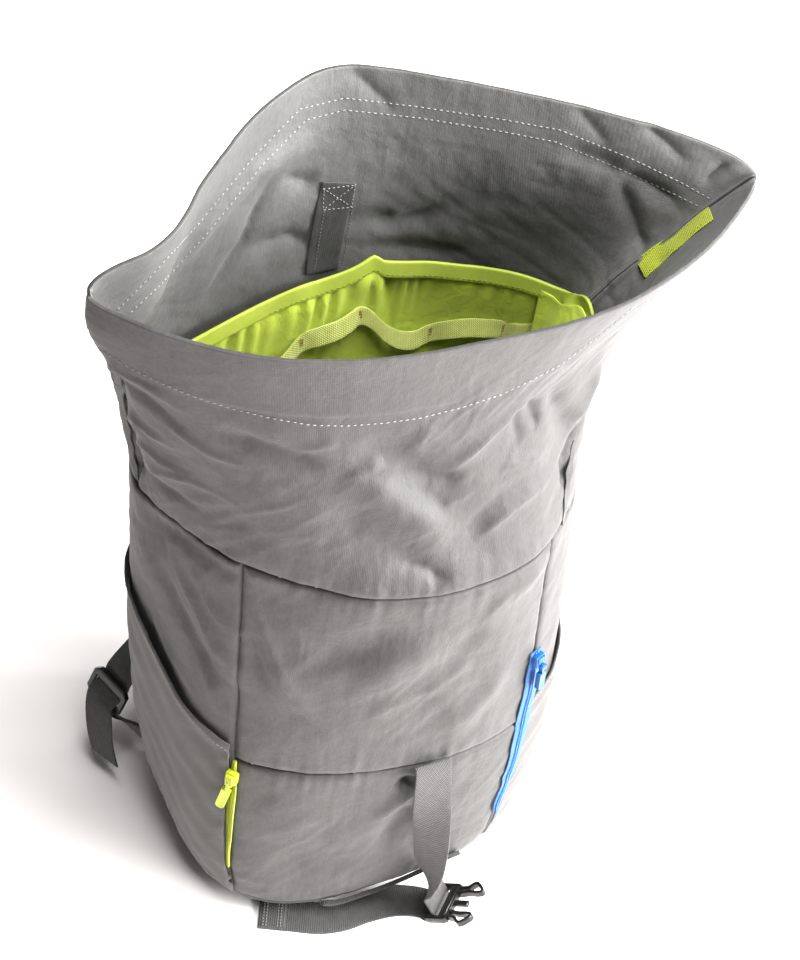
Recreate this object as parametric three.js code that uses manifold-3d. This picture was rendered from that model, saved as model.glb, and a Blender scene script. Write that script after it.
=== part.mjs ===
// Roll-top backpack standing open on its base, with the collar unrolled.
// Millimetres, +Z up, front towards -Y, left and right as seen from the front, floor at z = 0.
import * as THREE from 'three';
import { mergeVertices } from 'three/addons/utils/BufferGeometryUtils.js';
import Module from 'manifold-3d';

const wasm = await Module();
wasm.setup();

// Cloth and gaps
const wallThickness = 1.2;
const hemThickness = 2.4;
const hemTaper = 40;
const seamGap = 0.4;
const foldGap = 0.9;
const pieceGap = 0.5;
const ringSamples = 240;
const cornerSmoothing = 6;

// Webbing
const webbingWidth = 25;
const webbingThickness = 1.5;
const narrowWebbing = 15;
const loopWidth = 10;

// Zips and their hardware
const zipWidth = 10;
const zipThickness = 1.6;
const sliderWidth = 8;
const sliderLength = 12;
const sliderThickness = 2.4;
const pinRadius = 0.7;
const eyeRadius = 1.0;
const barrelRadius = 1.9;
const barrelLength = 3.6;
const earThickness = 1.2;
const pullThickness = 1.6;

function table(columns, rows) {
  return rows.map((row) => Object.fromEntries(columns.map((column, k) => [column, row[k]])));
}

// Cross sections of the bag from the floor up. left, right: side folds in x. foldY: y of the folds.
// frontY, backY: middles of the two halves. P, Q: roundness of a half, 0.6 boxy, 1 round, 2 pinched.
// Skew moves the middle of a half sideways.
const levels = table(
  ['name', 'sideZ', 'frontZ', 'backZ', 'left', 'right', 'foldY', 'frontY', 'backY',
    'frontP', 'frontQ', 'backP', 'backQ', 'frontSkew', 'backSkew'],
  [
    ['foot', 0, 0, 0, -98, 106, 0, -78, 70, 0.60, 0.60, 0.60, 0.60, 0, 0],
    ['base', 20, 16, 22, -114, 120, 4, -95, 78, 0.65, 0.65, 0.60, 0.60, 0, 0],
    ['shin', 82, 80, 84, -132, 136, 10, -100, 84, 0.75, 0.75, 0.60, 0.60, 6, 0],
    ['pocket', 166, 163, 166, -139, 140, 14, -103, 86, 0.88, 0.90, 0.60, 0.60, 18, 0],
    ['belly', 258, 248, 258, -140, 137, 16, -105, 86, 0.92, 0.95, 0.60, 0.60, 18, 0],
    ['collar', 350, 338, 352, -141, 127, 18, -105, 85, 0.95, 1.00, 0.65, 0.65, 24, 0],
    ['throat', 404, 388, 408, -150, 132, 10, -100, 84, 0.95, 1.10, 0.80, 0.80, 16, 0],
    ['shoulder', 450, 440, 470, -163, 153, 2, -93, 82, 0.90, 1.40, 1.10, 1.20, 2, -8],
    ['hem', 494, 486, 528, -174, 184, -7, -93, 82, 0.80, 1.80, 1.45, 1.60, -5, -20],
    ['rim', 530, 525, 580, -179, 220, -14, -98, 84, 0.72, 2.00, 1.70, 2.00, -10, -30],
  ],
);
const dropPower = { front: 2, back: 1 };
const level = Object.fromEntries(levels.map((row, k) => [row.name, k]));

// Seams up the bag, as a share of the way round: 0 left fold, 0.25 front, 0.5 right fold, 0.75 back
const seam = {
  backLeft: -0.07,
  leftFold: 0,
  frontLeft: 0.108,
  frontRight: 0.352,
  rightFold: 0.5,
  backRight: 0.57,
  backLeftAgain: 0.93,
  leftFoldAgain: 1,
};

// Facet columns between the seams. A grade over 1 packs them at the start, under 1 at the end.
const columnSpans = table(
  ['from', 'to', 'cells', 'grade'],
  [
    [seam.backLeft, seam.leftFold, 5, 0.65],
    [seam.leftFold, seam.frontLeft, 8, 1.5],
    [seam.frontLeft, seam.frontRight, 18, 1],
    [seam.frontRight, seam.rightFold, 8, 0.67],
    [seam.rightFold, seam.backRight, 5, 1.5],
    [seam.backRight, seam.backLeftAgain, 18, 1],
    [seam.backLeftAgain, seam.leftFoldAgain, 5, 0.65],
  ],
);
const rowsPerLevel = 3;

// Dents and folds of the cloth: a line from one place to another, with its width and its depth,
// inward below zero. across is the share of the way round, the heights are in millimetres.
const folds = table(
  ['name', 'fromAcross', 'fromZ', 'toAcross', 'toZ', 'width', 'depth'],
  [
    ['left collar tuck', 0.000, 380, 0.000, 470, 8, -12],
    ['right collar tuck', 0.500, 380, 0.500, 460, 8, -12],
    ['collar dent', 0.215, 440, 0.285, 372, 20, -7],
    ['roll over the collar seam', 0.200, 338, 0.345, 334, 13, 5],
    ['right collar crease', 0.300, 440, 0.375, 478, 9, -4],
    ['right seam crease', 0.320, 385, 0.390, 420, 9, -4],
    ['left collar crease', 0.010, 452, 0.110, 378, 11, -4],
    ['front sag', 0.140, 310, 0.260, 205, 16, -4],
    ['front low sag', 0.150, 230, 0.240, 172, 12, -3],
    ['strap pucker', 0.215, 140, 0.160, 60, 14, -4],
    ['left side crease', 0.020, 330, 0.105, 215, 12, -4],
    ['left mouth pinch', 0.942, 490, 0.942, 590, 26, -22],
    ['left back rim hollow', 0.885, 530, 0.885, 600, 26, -8],
    ['left pocket hollow', 0.020, 110, 0.020, 232, 30, -9],
    ['right pocket hollow', 0.480, 110, 0.480, 232, 30, -9],
  ],
);

// Colours from the photograph
const cloth = (colour, roughness = 0.75) =>
  new THREE.MeshStandardMaterial({ color: colour, roughness, metalness: 0 });
const materials = {
  nylon: cloth(0x8b8a88, 0.6),
  stretch: cloth(0x6f6d6b, 0.85),
  webbing: cloth(0x6b6a69, 0.8),
  lime: cloth(0xb4d22f, 0.65),
  limeTape: cloth(0xd6e23c, 0.6),
  blueTape: cloth(0x3d8be6, 0.5),
  blackWebbing: cloth(0x2b2927, 0.85),
  blackPlastic: cloth(0x232220, 0.45),
};

const bag = new THREE.Group();

function addPiece(name, geometry, material) {
  const mesh = new THREE.Mesh(geometry, material);
  mesh.name = name;
  bag.add(mesh);
}

// Bag surface

function halfSection(row, side) {
  const centre = (row.left + row.right) / 2;
  const halfWidth = (row.right - row.left) / 2;
  const start = side === 'front' ? -1 : 1;
  const points = [];
  const steps = 80;
  for (let k = 0; k <= steps; k += 1) {
    const angle = (Math.PI * k) / steps;
    const along = Math.cos(angle);
    const bulge = Math.sin(angle) ** row[`${side}Q`];
    const reach = Math.sign(along) * Math.abs(along) ** row[`${side}P`];
    points.push(new THREE.Vector3(
      centre + start * halfWidth * reach + row[`${side}Skew`] * bulge,
      row.foldY + (row[`${side}Y`] - row.foldY) * bulge,
      row.sideZ + (row[`${side}Z`] - row.sideZ) * Math.sin(angle) ** dropPower[side],
    ));
  }
  const curve = new THREE.CatmullRomCurve3(points);
  curve.arcLengthDivisions = 600;
  return curve.getSpacedPoints(ringSamples / 2).slice(0, -1);
}

function smoothRing(points) {
  const count = points.length;
  return points.map((point, k) => {
    const before = points[(k + count - 1) % count];
    const after = points[(k + 1) % count];
    return point.clone().multiplyScalar(2).add(before).add(after).multiplyScalar(0.25);
  });
}

const rings = levels.map((row) => {
  let ring = [...halfSection(row, 'front'), ...halfSection(row, 'back')];
  for (let pass = 0; pass < cornerSmoothing; pass += 1) ring = smoothRing(ring);
  return ring;
});
const ringLength = 2 * (levels[level.collar].right - levels[level.collar].left
  + levels[level.collar].backY - levels[level.collar].frontY) * 0.82;

function ringPoint(ring, across) {
  const place = (across - Math.floor(across)) * ringSamples;
  const first = Math.floor(place) % ringSamples;
  return ring[first].clone().lerp(ring[(first + 1) % ringSamples], place - Math.floor(place));
}

function bagPoint(across, up) {
  const column = new THREE.CatmullRomCurve3(rings.map((ring) => ringPoint(ring, across)));
  return column.getPoint(THREE.MathUtils.clamp(up / (levels.length - 1), 0, 1));
}

function smoothPeak(share) {
  return Math.exp(-share * share);
}

function wrapped(across) {
  return across - Math.round(across);
}

function foldDepth(across, height) {
  let depth = 0;
  for (const fold of folds) {
    const runX = (fold.toAcross - fold.fromAcross) * ringLength;
    const runZ = fold.toZ - fold.fromZ;
    const x = wrapped(across - fold.fromAcross) * ringLength;
    const z = height - fold.fromZ;
    const share = (x * runX + z * runZ) / (runX * runX + runZ * runZ);
    const held = THREE.MathUtils.clamp(share, 0, 1);
    const distance = Math.hypot(x - held * runX, z - held * runZ);
    depth += fold.depth * smoothPeak(distance / fold.width);
  }
  return depth;
}

function normalOf(pointAt, across, up) {
  const stepAcross = 0.002;
  const stepUp = 0.02;
  const along = pointAt(across + stepAcross, up).sub(pointAt(across - stepAcross, up));
  const lowUp = Math.max(up - stepUp, 0);
  const highUp = Math.min(up + stepUp, levels.length - 1);
  const rise = pointAt(across, highUp).sub(pointAt(across, lowUp));
  return along.cross(rise).normalize();
}

function foldedPoint(across, up) {
  const point = bagPoint(across, up);
  return point.addScaledVector(normalOf(bagPoint, across, up), foldDepth(across, point.z));
}

// A place on the cloth, lifted outwards from its outer face
function clothPoint(across, up, lift = 0) {
  const point = foldedPoint(across, up);
  return lift === 0 ? point : point.addScaledVector(normalOf(foldedPoint, across, up), lift);
}

function clothFrame(across, up, lift = 0) {
  const out = normalOf(foldedPoint, across, up);
  const rise = foldedPoint(across, up + 0.05).sub(foldedPoint(across, up - 0.05)).normalize();
  const along = rise.clone().cross(out).normalize();
  rise.crossVectors(out, along).normalize();
  return { origin: clothPoint(across, up, lift), along, rise, out };
}

// The level number where the cloth passes a height
function levelAt(across, height) {
  let low = 0;
  let high = levels.length - 1;
  for (let k = 0; k < 30; k += 1) {
    const middle = (low + high) / 2;
    if (bagPoint(across, middle).z < height) low = middle;
    else high = middle;
  }
  return (low + high) / 2;
}

// Closed solids

function closedGeometry(points, faces) {
  const geometry = new THREE.BufferGeometry();
  geometry.setFromPoints(points);
  geometry.setIndex(faces.flat());
  return mergeVertices(geometry, 1e-4);
}

function quad(a, b, c, d) {
  return [[a, b, c], [a, c, d]];
}

// A wall between an outer and an inner grid of points, each [row][column], columns to the right
// and rows upwards as seen from outside
function wallSolid(outer, inner) {
  const rows = outer.length;
  const columns = outer[0].length;
  const points = [...outer.flat(), ...inner.flat()];
  const front = (j, i) => j * columns + i;
  const rear = (j, i) => rows * columns + j * columns + i;
  const faces = [];
  for (let j = 0; j < rows - 1; j += 1) {
    for (let i = 0; i < columns - 1; i += 1) {
      faces.push(...quad(front(j, i), front(j, i + 1), front(j + 1, i + 1), front(j + 1, i)));
      faces.push(...quad(rear(j, i), rear(j + 1, i), rear(j + 1, i + 1), rear(j, i + 1)));
    }
    faces.push(...quad(rear(j, 0), front(j, 0), front(j + 1, 0), rear(j + 1, 0)));
    const last = columns - 1;
    faces.push(...quad(front(j, last), rear(j, last), rear(j + 1, last), front(j + 1, last)));
  }
  for (let i = 0; i < columns - 1; i += 1) {
    const top = rows - 1;
    faces.push(...quad(rear(0, i), rear(0, i + 1), front(0, i + 1), front(0, i)));
    faces.push(...quad(front(top, i), front(top, i + 1), rear(top, i + 1), rear(top, i)));
  }
  return closedGeometry(points, faces);
}

// A strip of cloth or webbing swept along stations, each with its centre and its width direction.
// The rounding takes that much off the four long edges.
function stripSolid(stations, width, thickness, rounding = 0) {
  const half = width / 2;
  const deep = thickness / 2;
  const outline = rounding === 0
    ? [[-half, -deep], [half, -deep], [half, deep], [-half, deep]]
    : [[-half, -deep + rounding], [-half + rounding, -deep], [half - rounding, -deep],
      [half, -deep + rounding], [half, deep - rounding], [half - rounding, deep],
      [-half + rounding, deep], [-half, deep - rounding]];
  const last = stations.length - 1;
  const points = stations.flatMap(({ at, across }, k) => {
    const before = stations[Math.max(k - 1, 0)].at;
    const after = stations[Math.min(k + 1, last)].at;
    const tangent = after.clone().sub(before).normalize();
    const side = across.clone().addScaledVector(tangent, -across.dot(tangent)).normalize();
    const normal = side.clone().cross(tangent).normalize();
    return outline.map(([x, y]) => at.clone().addScaledVector(side, x).addScaledVector(normal, y));
  });
  const sides = outline.length;
  const faces = [];
  for (let k = 0; k < last; k += 1) {
    for (let i = 0; i < sides; i += 1) {
      const next = (i + 1) % sides;
      faces.push(...quad(k * sides + i, (k + 1) * sides + i, (k + 1) * sides + next, k * sides + next));
    }
  }
  for (let i = 1; i < sides - 1; i += 1) {
    faces.push([0, i, i + 1]);
    faces.push([last * sides, last * sides + i + 1, last * sides + i]);
  }
  return closedGeometry(points, faces);
}

function smoothStations(rows, steps) {
  const path = new THREE.CatmullRomCurve3(rows.map((row) => new THREE.Vector3(row.x, row.y, row.z)));
  const width = new THREE.CatmullRomCurve3(
    rows.map((row) => new THREE.Vector3(row.acrossX, row.acrossY, row.acrossZ)),
  );
  return Array.from({ length: steps + 1 }, (_, k) => ({
    at: path.getPoint(k / steps),
    across: width.getPoint(k / steps),
  }));
}

function shapeOf(outline, holes = []) {
  const shape = new THREE.Shape(outline.map(([x, y]) => new THREE.Vector2(x, y)));
  shape.holes = holes.map((hole) => new THREE.Path(hole.map(([x, y]) => new THREE.Vector2(x, y))));
  return shape;
}

function plate(outline, depth, holes = []) {
  return new THREE.ExtrudeGeometry(shapeOf(outline, holes), { depth, bevelEnabled: false, steps: 1 });
}

function rectangle(width, length, chamfer = 0) {
  const x = width / 2;
  const y = length / 2;
  if (chamfer === 0) return [[-x, -y], [x, -y], [x, y], [-x, y]];
  return [[-x + chamfer, -y], [x - chamfer, -y], [x, -y + chamfer], [x, y - chamfer],
    [x - chamfer, y], [-x + chamfer, y], [-x, y - chamfer], [-x, -y + chamfer]];
}

function moved(outline, dx, dy) {
  return outline.map(([x, y]) => [x + dx, y + dy]);
}

function placed(geometry, { origin, along, rise, out }) {
  const basis = new THREE.Matrix4().makeBasis(along, rise, out).setPosition(origin);
  return geometry.applyMatrix4(basis);
}

function manifoldOf(geometry) {
  const bare = geometry.clone();
  bare.deleteAttribute('normal');
  bare.deleteAttribute('uv');
  const merged = mergeVertices(bare, 1e-4);
  return new wasm.Manifold(new wasm.Mesh({
    numProp: 3,
    vertProperties: merged.attributes.position.array,
    triVerts: new Uint32Array(merged.index.array),
  }));
}

function fused(geometries) {
  const solid = geometries.map(manifoldOf).reduce((whole, next) => whole.add(next));
  const { vertProperties, triVerts } = solid.getMesh();
  const geometry = new THREE.BufferGeometry();
  geometry.setAttribute('position', new THREE.BufferAttribute(new Float32Array(vertProperties), 3));
  geometry.setIndex([...triVerts]);
  return geometry;
}

// Shell panels

function columnStops(from, to) {
  const stops = [from];
  for (const span of columnSpans) {
    for (let turn = 0; turn <= 1; turn += 1) {
      for (let k = 0; k <= span.cells; k += 1) {
        const stop = turn + span.from + (span.to - span.from) * (k / span.cells) ** span.grade;
        if (stop > from + 1e-6 && stop < to - 1e-6) stops.push(stop);
      }
    }
  }
  stops.push(to);
  return [...new Set(stops.map((stop) => Number(stop.toFixed(6))))].sort((a, b) => a - b);
}

function rowStops(bottom, top) {
  const count = Math.round((top - bottom) * rowsPerLevel);
  return Array.from({ length: count + 1 }, (_, k) => bottom + ((top - bottom) * k) / count);
}

// The folded hem is thicker than the wall, and thins out towards the side folds
function thicknessAt(across, up) {
  if (up < level.hem - 0.01) return wallThickness;
  const fromFold = Math.min(Math.abs(wrapped(across)), Math.abs(wrapped(across - seam.rightFold)));
  const share = THREE.MathUtils.smoothstep(fromFold * ringLength, 0, hemTaper);
  return THREE.MathUtils.lerp(wallThickness, hemThickness, share);
}

function shellPanel(name, from, to, bottom, top, material) {
  const sideGap = (bottom === level.collar ? foldGap : seamGap) / 2 / ringLength;
  const columns = columnStops(from, to);
  columns[0] += sideGap;
  columns[columns.length - 1] -= sideGap;
  const rows = rowStops(bottom, top);
  rows[0] += levelGap(bottom, 1);
  if (top < level.rim) rows[rows.length - 1] -= levelGap(top, -1);
  const outer = rows.map((up) => columns.map((across) => clothPoint(across, up)));
  const inner = rows.map((up) => columns.map((across) =>
    clothPoint(across, up, -thicknessAt(across, up))));
  addPiece(name, wallSolid(outer, inner), material);
}

// Half a seam's gap, in levels, measured at the front middle just above or below a level
function levelGap(up, direction) {
  const step = 0.1;
  const front = 0.25;
  const height = Math.abs(bagPoint(front, up + direction * step).z - bagPoint(front, up).z);
  return (step * seamGap) / 2 / height;
}

shellPanel('collar_front', seam.leftFold, seam.rightFold, level.collar, level.rim, materials.nylon);
shellPanel('collar_back', seam.rightFold, seam.leftFoldAgain, level.collar, level.rim, materials.nylon);
shellPanel('front_panel', seam.frontLeft, seam.frontRight, level.pocket, level.collar, materials.nylon);
shellPanel('front_pocket_panel', seam.frontLeft, seam.frontRight, level.base, level.pocket,
  materials.nylon);
shellPanel('left_side_panel', seam.backLeft, seam.frontLeft, level.base, level.collar, materials.nylon);
shellPanel('right_side_panel', seam.frontRight, seam.backRight, level.base, level.collar,
  materials.nylon);
shellPanel('back_panel', seam.backRight, seam.backLeftAgain, level.base, level.collar, materials.nylon);

// Base panel: a shallow tray with a flat underside
function basePanel() {
  const columns = columnStops(0, 1).slice(0, -1);
  const count = columns.length;
  const rows = [level.base - levelGap(level.base, -1), 0.6, 0.25, 0];
  const outer = rows.map((up) => columns.map((across) => clothPoint(across, up)));
  const inner = rows.map((up) => columns.map((across) => {
    const point = clothPoint(across, up, -wallThickness);
    point.z = Math.max(point.z, wallThickness);
    return point;
  }));
  const points = [...outer.flat(), ...inner.flat()];
  const front = (j, i) => j * count + (i % count);
  const rear = (j, i) => (rows.length + j) * count + (i % count);
  const last = rows.length - 1;
  const faces = [];
  for (let i = 0; i < count; i += 1) {
    for (let j = 0; j < last; j += 1) {
      faces.push(...quad(front(j, i), front(j + 1, i), front(j + 1, i + 1), front(j, i + 1)));
      faces.push(...quad(rear(j, i), rear(j, i + 1), rear(j + 1, i + 1), rear(j + 1, i)));
    }
    faces.push(...quad(front(0, i), front(0, i + 1), rear(0, i + 1), rear(0, i)));
  }
  const flat = (ring) => ring.map((point) => new THREE.Vector2(point.x, point.y));
  for (const [a, b, c] of THREE.ShapeUtils.triangulateShape(flat(outer[last]), [])) {
    faces.push([front(last, a), front(last, c), front(last, b)]);
  }
  for (const [a, b, c] of THREE.ShapeUtils.triangulateShape(flat(inner[last]), [])) {
    faces.push([rear(last, a), rear(last, b), rear(last, c)]);
  }
  addPiece('base_panel', closedGeometry(points, faces), materials.nylon);
}
basePanel();

// Stretch side pockets: sewn along the seams and the base, open along a slanted hem
const pocket = { rows: 6, bottom: 1.15, frontMargin: 0.0078, backMargin: 0.004, hemBulge: 5 };
const pocketHem = table(
  ['share', 'height'],
  [[0, 250], [0.2, 242], [0.4, 228], [0.6, 205], [0.8, 190], [1, 180]],
);

function hemHeight(share) {
  const place = THREE.MathUtils.clamp(share, 0, 1) * (pocketHem.length - 1);
  const k = Math.min(Math.floor(place), pocketHem.length - 2);
  return THREE.MathUtils.lerp(pocketHem[k].height, pocketHem[k + 1].height, place - k);
}

function sidePocket(name, backEdge, frontEdge) {
  const low = Math.min(backEdge, frontEdge);
  const high = Math.max(backEdge, frontEdge);
  const columns = columnStops(low, high);
  const inset = pieceGap + wallThickness;
  const grid = (extra) => Array.from({ length: pocket.rows + 1 }, (_, j) => columns.map((across) => {
    const share = (across - backEdge) / (frontEdge - backEdge);
    const top = levelAt(across, hemHeight(share));
    const rise = j / pocket.rows;
    const up = THREE.MathUtils.lerp(pocket.bottom, top, rise);
    const bulge = pocket.hemBulge * Math.sin(Math.PI * share) ** 0.7 * rise ** 0.8;
    const pleat = -foldDepth(across, bagPoint(across, up).z) * Math.sin(Math.PI * share);
    return clothPoint(across, up, inset + extra + bulge + Math.max(pleat, 0));
  }));
  addPiece(name, wallSolid(grid(0), grid(-wallThickness)), materials.stretch);
}
sidePocket('side_pocket_left', seam.backLeft + pocket.backMargin, seam.frontLeft - pocket.frontMargin);
sidePocket('side_pocket_right', seam.backRight - pocket.backMargin, seam.frontRight + pocket.frontMargin);

// Zips: a tape on each front seam, a slider on the tape and a pull that hinges on the slider
const zips = table(
  ['side', 'across', 'low', 'high', 'slider', 'pullLength', 'turn', 'material'],
  [
    ['left', seam.frontLeft, 46, 166, 148, 24, 12, materials.limeTape],
    ['right', seam.frontRight, 70, 238, 226, 21, 0, materials.blueTape],
  ],
);

function zipTape(zip) {
  const halfTurn = zipWidth / 2 / ringLength;
  const columns = [zip.across - halfTurn, zip.across, zip.across + halfTurn];
  const low = levelAt(zip.across, zip.low);
  const high = levelAt(zip.across, zip.high);
  const inner = rowStops(level.base, level.collar).filter((up) => up > low + 0.05 && up < high - 0.05);
  const rows = [low, ...inner, high];
  const grid = (lift) => rows.map((up) => columns.map((across) => clothPoint(across, up, lift)));
  return wallSolid(grid(pieceGap + zipThickness), grid(pieceGap));
}

function barrel(radius, length) {
  return new THREE.CylinderGeometry(radius, radius, length, 12).rotateZ(Math.PI / 2);
}

function eye() {
  const half = barrelLength / 2;
  const profile = [[eyeRadius, -half], [barrelRadius, -half], [barrelRadius, half], [eyeRadius, half],
    [eyeRadius, -half]];
  const ring = new THREE.LatheGeometry(profile.map(([x, y]) => new THREE.Vector2(x, y)), 12);
  return ring.rotateZ(Math.PI / 2);
}

// Slider and pull share a frame: x across the zip, y up it, z out of the bag, hinge at the origin
const hingeHeight = sliderThickness + barrelRadius + 0.3;

function sliderSolid() {
  const earGap = barrelLength + 0.8;
  const earLength = 2 * barrelRadius;
  const body = plate(rectangle(sliderWidth, sliderLength, 1.6), sliderThickness)
    .translate(0, sliderLength / 2 - barrelRadius - 1, -hingeHeight);
  const ears = [-1, 1].map((side) =>
    new THREE.BoxGeometry(earThickness, earLength, hingeHeight + barrelRadius)
      .translate(side * (earGap + earThickness) / 2, 0, (barrelRadius - hingeHeight) / 2));
  return fused([body, ...ears, barrel(pinRadius, earGap + earThickness)]);
}

function pullSolid(length) {
  const neck = 3.2;
  const half = sliderWidth / 2;
  const top = -eyeRadius - 0.35;
  const outline = [[-neck / 2, top], [-neck / 2, -4], [-half, -6], [-half, -length + 4],
    [-half + 2.4, -length], [half - 2.4, -length], [half, -length + 4], [half, -6], [neck / 2, -4],
    [neck / 2, top]];
  const tab = plate(outline, pullThickness).translate(0, 0, -pullThickness / 2);
  return fused([eye(), tab]);
}

// A frame turned about the way out of the bag, in degrees
function turned({ origin, along, rise, out }, degrees) {
  const angle = THREE.MathUtils.degToRad(-degrees);
  return {
    origin,
    along: along.clone().applyAxisAngle(out, angle),
    rise: rise.clone().applyAxisAngle(out, angle),
    out,
  };
}

for (const zip of zips) {
  addPiece(`zip_${zip.side}`, zipTape(zip), zip.material);
  const up = levelAt(zip.across, zip.slider);
  const lift = 2 * pieceGap + zipThickness + hingeHeight;
  const frame = turned(clothFrame(zip.across, up, lift), zip.turn);
  addPiece(`zip_${zip.side}_slider`, placed(sliderSolid(), frame), zip.material);
  addPiece(`zip_${zip.side}_pull`, placed(pullSolid(zip.pullLength), frame), zip.material);
}

// Webbing straps are listed as stations: a centre and the direction of the width
const stationColumns = ['x', 'y', 'z', 'acrossX', 'acrossY', 'acrossZ'];

// Male half of the front buckle. Its frame: x along the bar, y towards the prongs, z through it.
const buckle = {
  thickness: 6,
  barWidth: 34,
  slotWidth: 27,
  slotLength: 4.6,
  slotY: 0.8,
  prongLength: 23,
  centre: new THREE.Vector3(38.9, -117, 11.5),
  bar: new THREE.Vector3(0.7, 0.71, 0),
  prongs: new THREE.Vector3(0.58, -0.53, 0.5),
};

function frameOf(origin, along, rise) {
  const out = along.clone().cross(rise).normalize();
  const x = along.clone().normalize();
  return { origin, along: x, rise: out.clone().cross(x).normalize(), out };
}

function maleBuckle() {
  const half = buckle.barWidth / 2;
  const tip = buckle.prongLength;
  const prong = [[half - 7, 7], [half - 7.5, tip - 10], [half - 6, tip - 4], [half - 4, tip],
    [half - 1.5, tip - 2], [half + 1, tip - 9], [half - 1.5, tip - 11], [half - 2, 7],
    [half, 5], [half, -5], [half - 1.5, -6.5]];
  const guide = [[-2.6, 7], [-2.2, tip - 5], [2.2, tip - 5], [2.6, 7]];
  const mirrored = prong.map(([x, y]) => [-x, y]).reverse();
  const slot = moved(rectangle(buckle.slotWidth, buckle.slotLength), 0, buckle.slotY);
  const outline = [...mirrored, ...guide, ...prong];
  return plate([...outline].reverse(), buckle.thickness, [slot]).translate(0, 0, -buckle.thickness / 2);
}
const buckleFrame = frameOf(buckle.centre, buckle.bar, buckle.prongs);
addPiece('front_buckle', placed(maleBuckle(), buckleFrame), materials.blackPlastic);

// Front closure strap: hangs from the pocket seam, turns round the buckle's bar, tail on the floor
const hangingRows = table(stationColumns, [
  [20.5, -109, 166, 1, 0.05, 0],
  [21.5, -113, 132, 0.95, -0.2, 0],
  [23, -116, 104, 0.82, -0.55, 0],
  [24.5, -117, 80, 0.66, -0.75, 0],
  [26, -116, 58, 0.4, -0.9, 0],
  [28, -114, 42, 0, -1, 0],
]);
const barTurn = table(
  ['y', 'z'],
  [[1.6, -16], [1.2, -8], [1, -4], [1, 0], [0.7, 2.8], [-1, 4.4], [-4, 4.8], [-8, 4.6]],
);
const tailRows = table(stationColumns, [
  [26, -105, 1.6, -0.2, -0.98, 0],
  [12, -99.5, 1, -0.2, -0.98, 0],
  [-6, -98.5, 1, -0.2, -0.98, 0],
  [-24, -100, 1, -0.3, -0.95, 0],
  [-42, -97, 1, -0.4, -0.92, 0],
  [-62, -88, 1, -0.4, -0.92, 0],
  [-80, -80, 1, -0.4, -0.92, 0],
]);

function frontStrap() {
  const { origin, along, rise, out } = buckleFrame;
  const turnRows = barTurn.map(({ y, z }) => {
    const at = origin.clone().addScaledVector(rise, y).addScaledVector(out, z);
    return { x: at.x, y: at.y, z: at.z, acrossX: -along.x, acrossY: -along.y, acrossZ: -along.z };
  });
  const rows = [...hangingRows, ...turnRows, ...tailRows];
  return stripSolid(smoothStations(rows, 46), webbingWidth, webbingThickness);
}
addPiece('front_strap', frontStrap(), materials.webbing);

// Black lash loop along the lower front edge, sewn down at both ends
const lashLoop = { from: 0.192, to: 0.322, up: level.base + 0.08, steps: 12, bow: 8.5, thickness: 2 };

function lashLoopStations() {
  return Array.from({ length: lashLoop.steps + 1 }, (_, k) => {
    const share = k / lashLoop.steps;
    const across = THREE.MathUtils.lerp(lashLoop.from, lashLoop.to, share);
    const bow = lashLoop.bow * Math.sin(Math.PI * share) ** 0.6;
    const frame = clothFrame(across, lashLoop.up, pieceGap + lashLoop.thickness / 2 + bow);
    return { at: frame.origin, across: frame.rise };
  });
}
addPiece('base_loop', stripSolid(lashLoopStations(), loopWidth, lashLoop.thickness, 0.5),
  materials.blackWebbing);

// Inner sleeve on the back wall, its webbing and the two inner trims
const sleeve = {
  from: 0.545,
  to: 0.955,
  bottom: 1.6,
  topZ: 437,
  leftDrop: 20,
  peak: 9,
  peakShare: 0.5,
  peakWidth: 0.1,
  gap: 9,
  edgeStand: 2.5,
  rows: 5,
  thickness: 1.2,
};

function sleeveLift(share, rise) {
  const stand = sleeve.gap * Math.sin(Math.PI * share) ** 0.5 * Math.min(1, rise * 2.5);
  return -(wallThickness + pieceGap + sleeve.edgeStand + stand);
}

function sleevePoint(across, rise, extra) {
  const share = (across - sleeve.from) / (sleeve.to - sleeve.from);
  const peak = sleeve.peak * smoothPeak((share - sleeve.peakShare) / sleeve.peakWidth);
  const top = levelAt(across, sleeve.topZ + peak - sleeve.leftDrop * share ** 2);
  const up = THREE.MathUtils.lerp(sleeve.bottom, top, rise);
  return smoothPoint(across, up, sleeveLift(share, rise) + extra);
}

// A place on the bag without its folds
function smoothPoint(across, up, lift) {
  return bagPoint(across, up).addScaledVector(normalOf(bagPoint, across, up), lift);
}

function innerSleeve() {
  const columns = columnStops(sleeve.from, sleeve.to);
  const rises = Array.from({ length: sleeve.rows + 1 }, (_, j) => j / sleeve.rows);
  const grid = (extra) => rises.map((rise) => columns.map((across) => sleevePoint(across, rise, extra)));
  return wallSolid(grid(0), grid(-sleeve.thickness));
}
addPiece('inner_sleeve', innerSleeve(), materials.lime);

const daisy = {
  from: 0.585,
  to: 0.925,
  loops: 5,
  stepsPerLoop: 5,
  drop: 52,
  stand: 1.6,
  bow: 7,
  thickness: 1.2,
};

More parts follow.
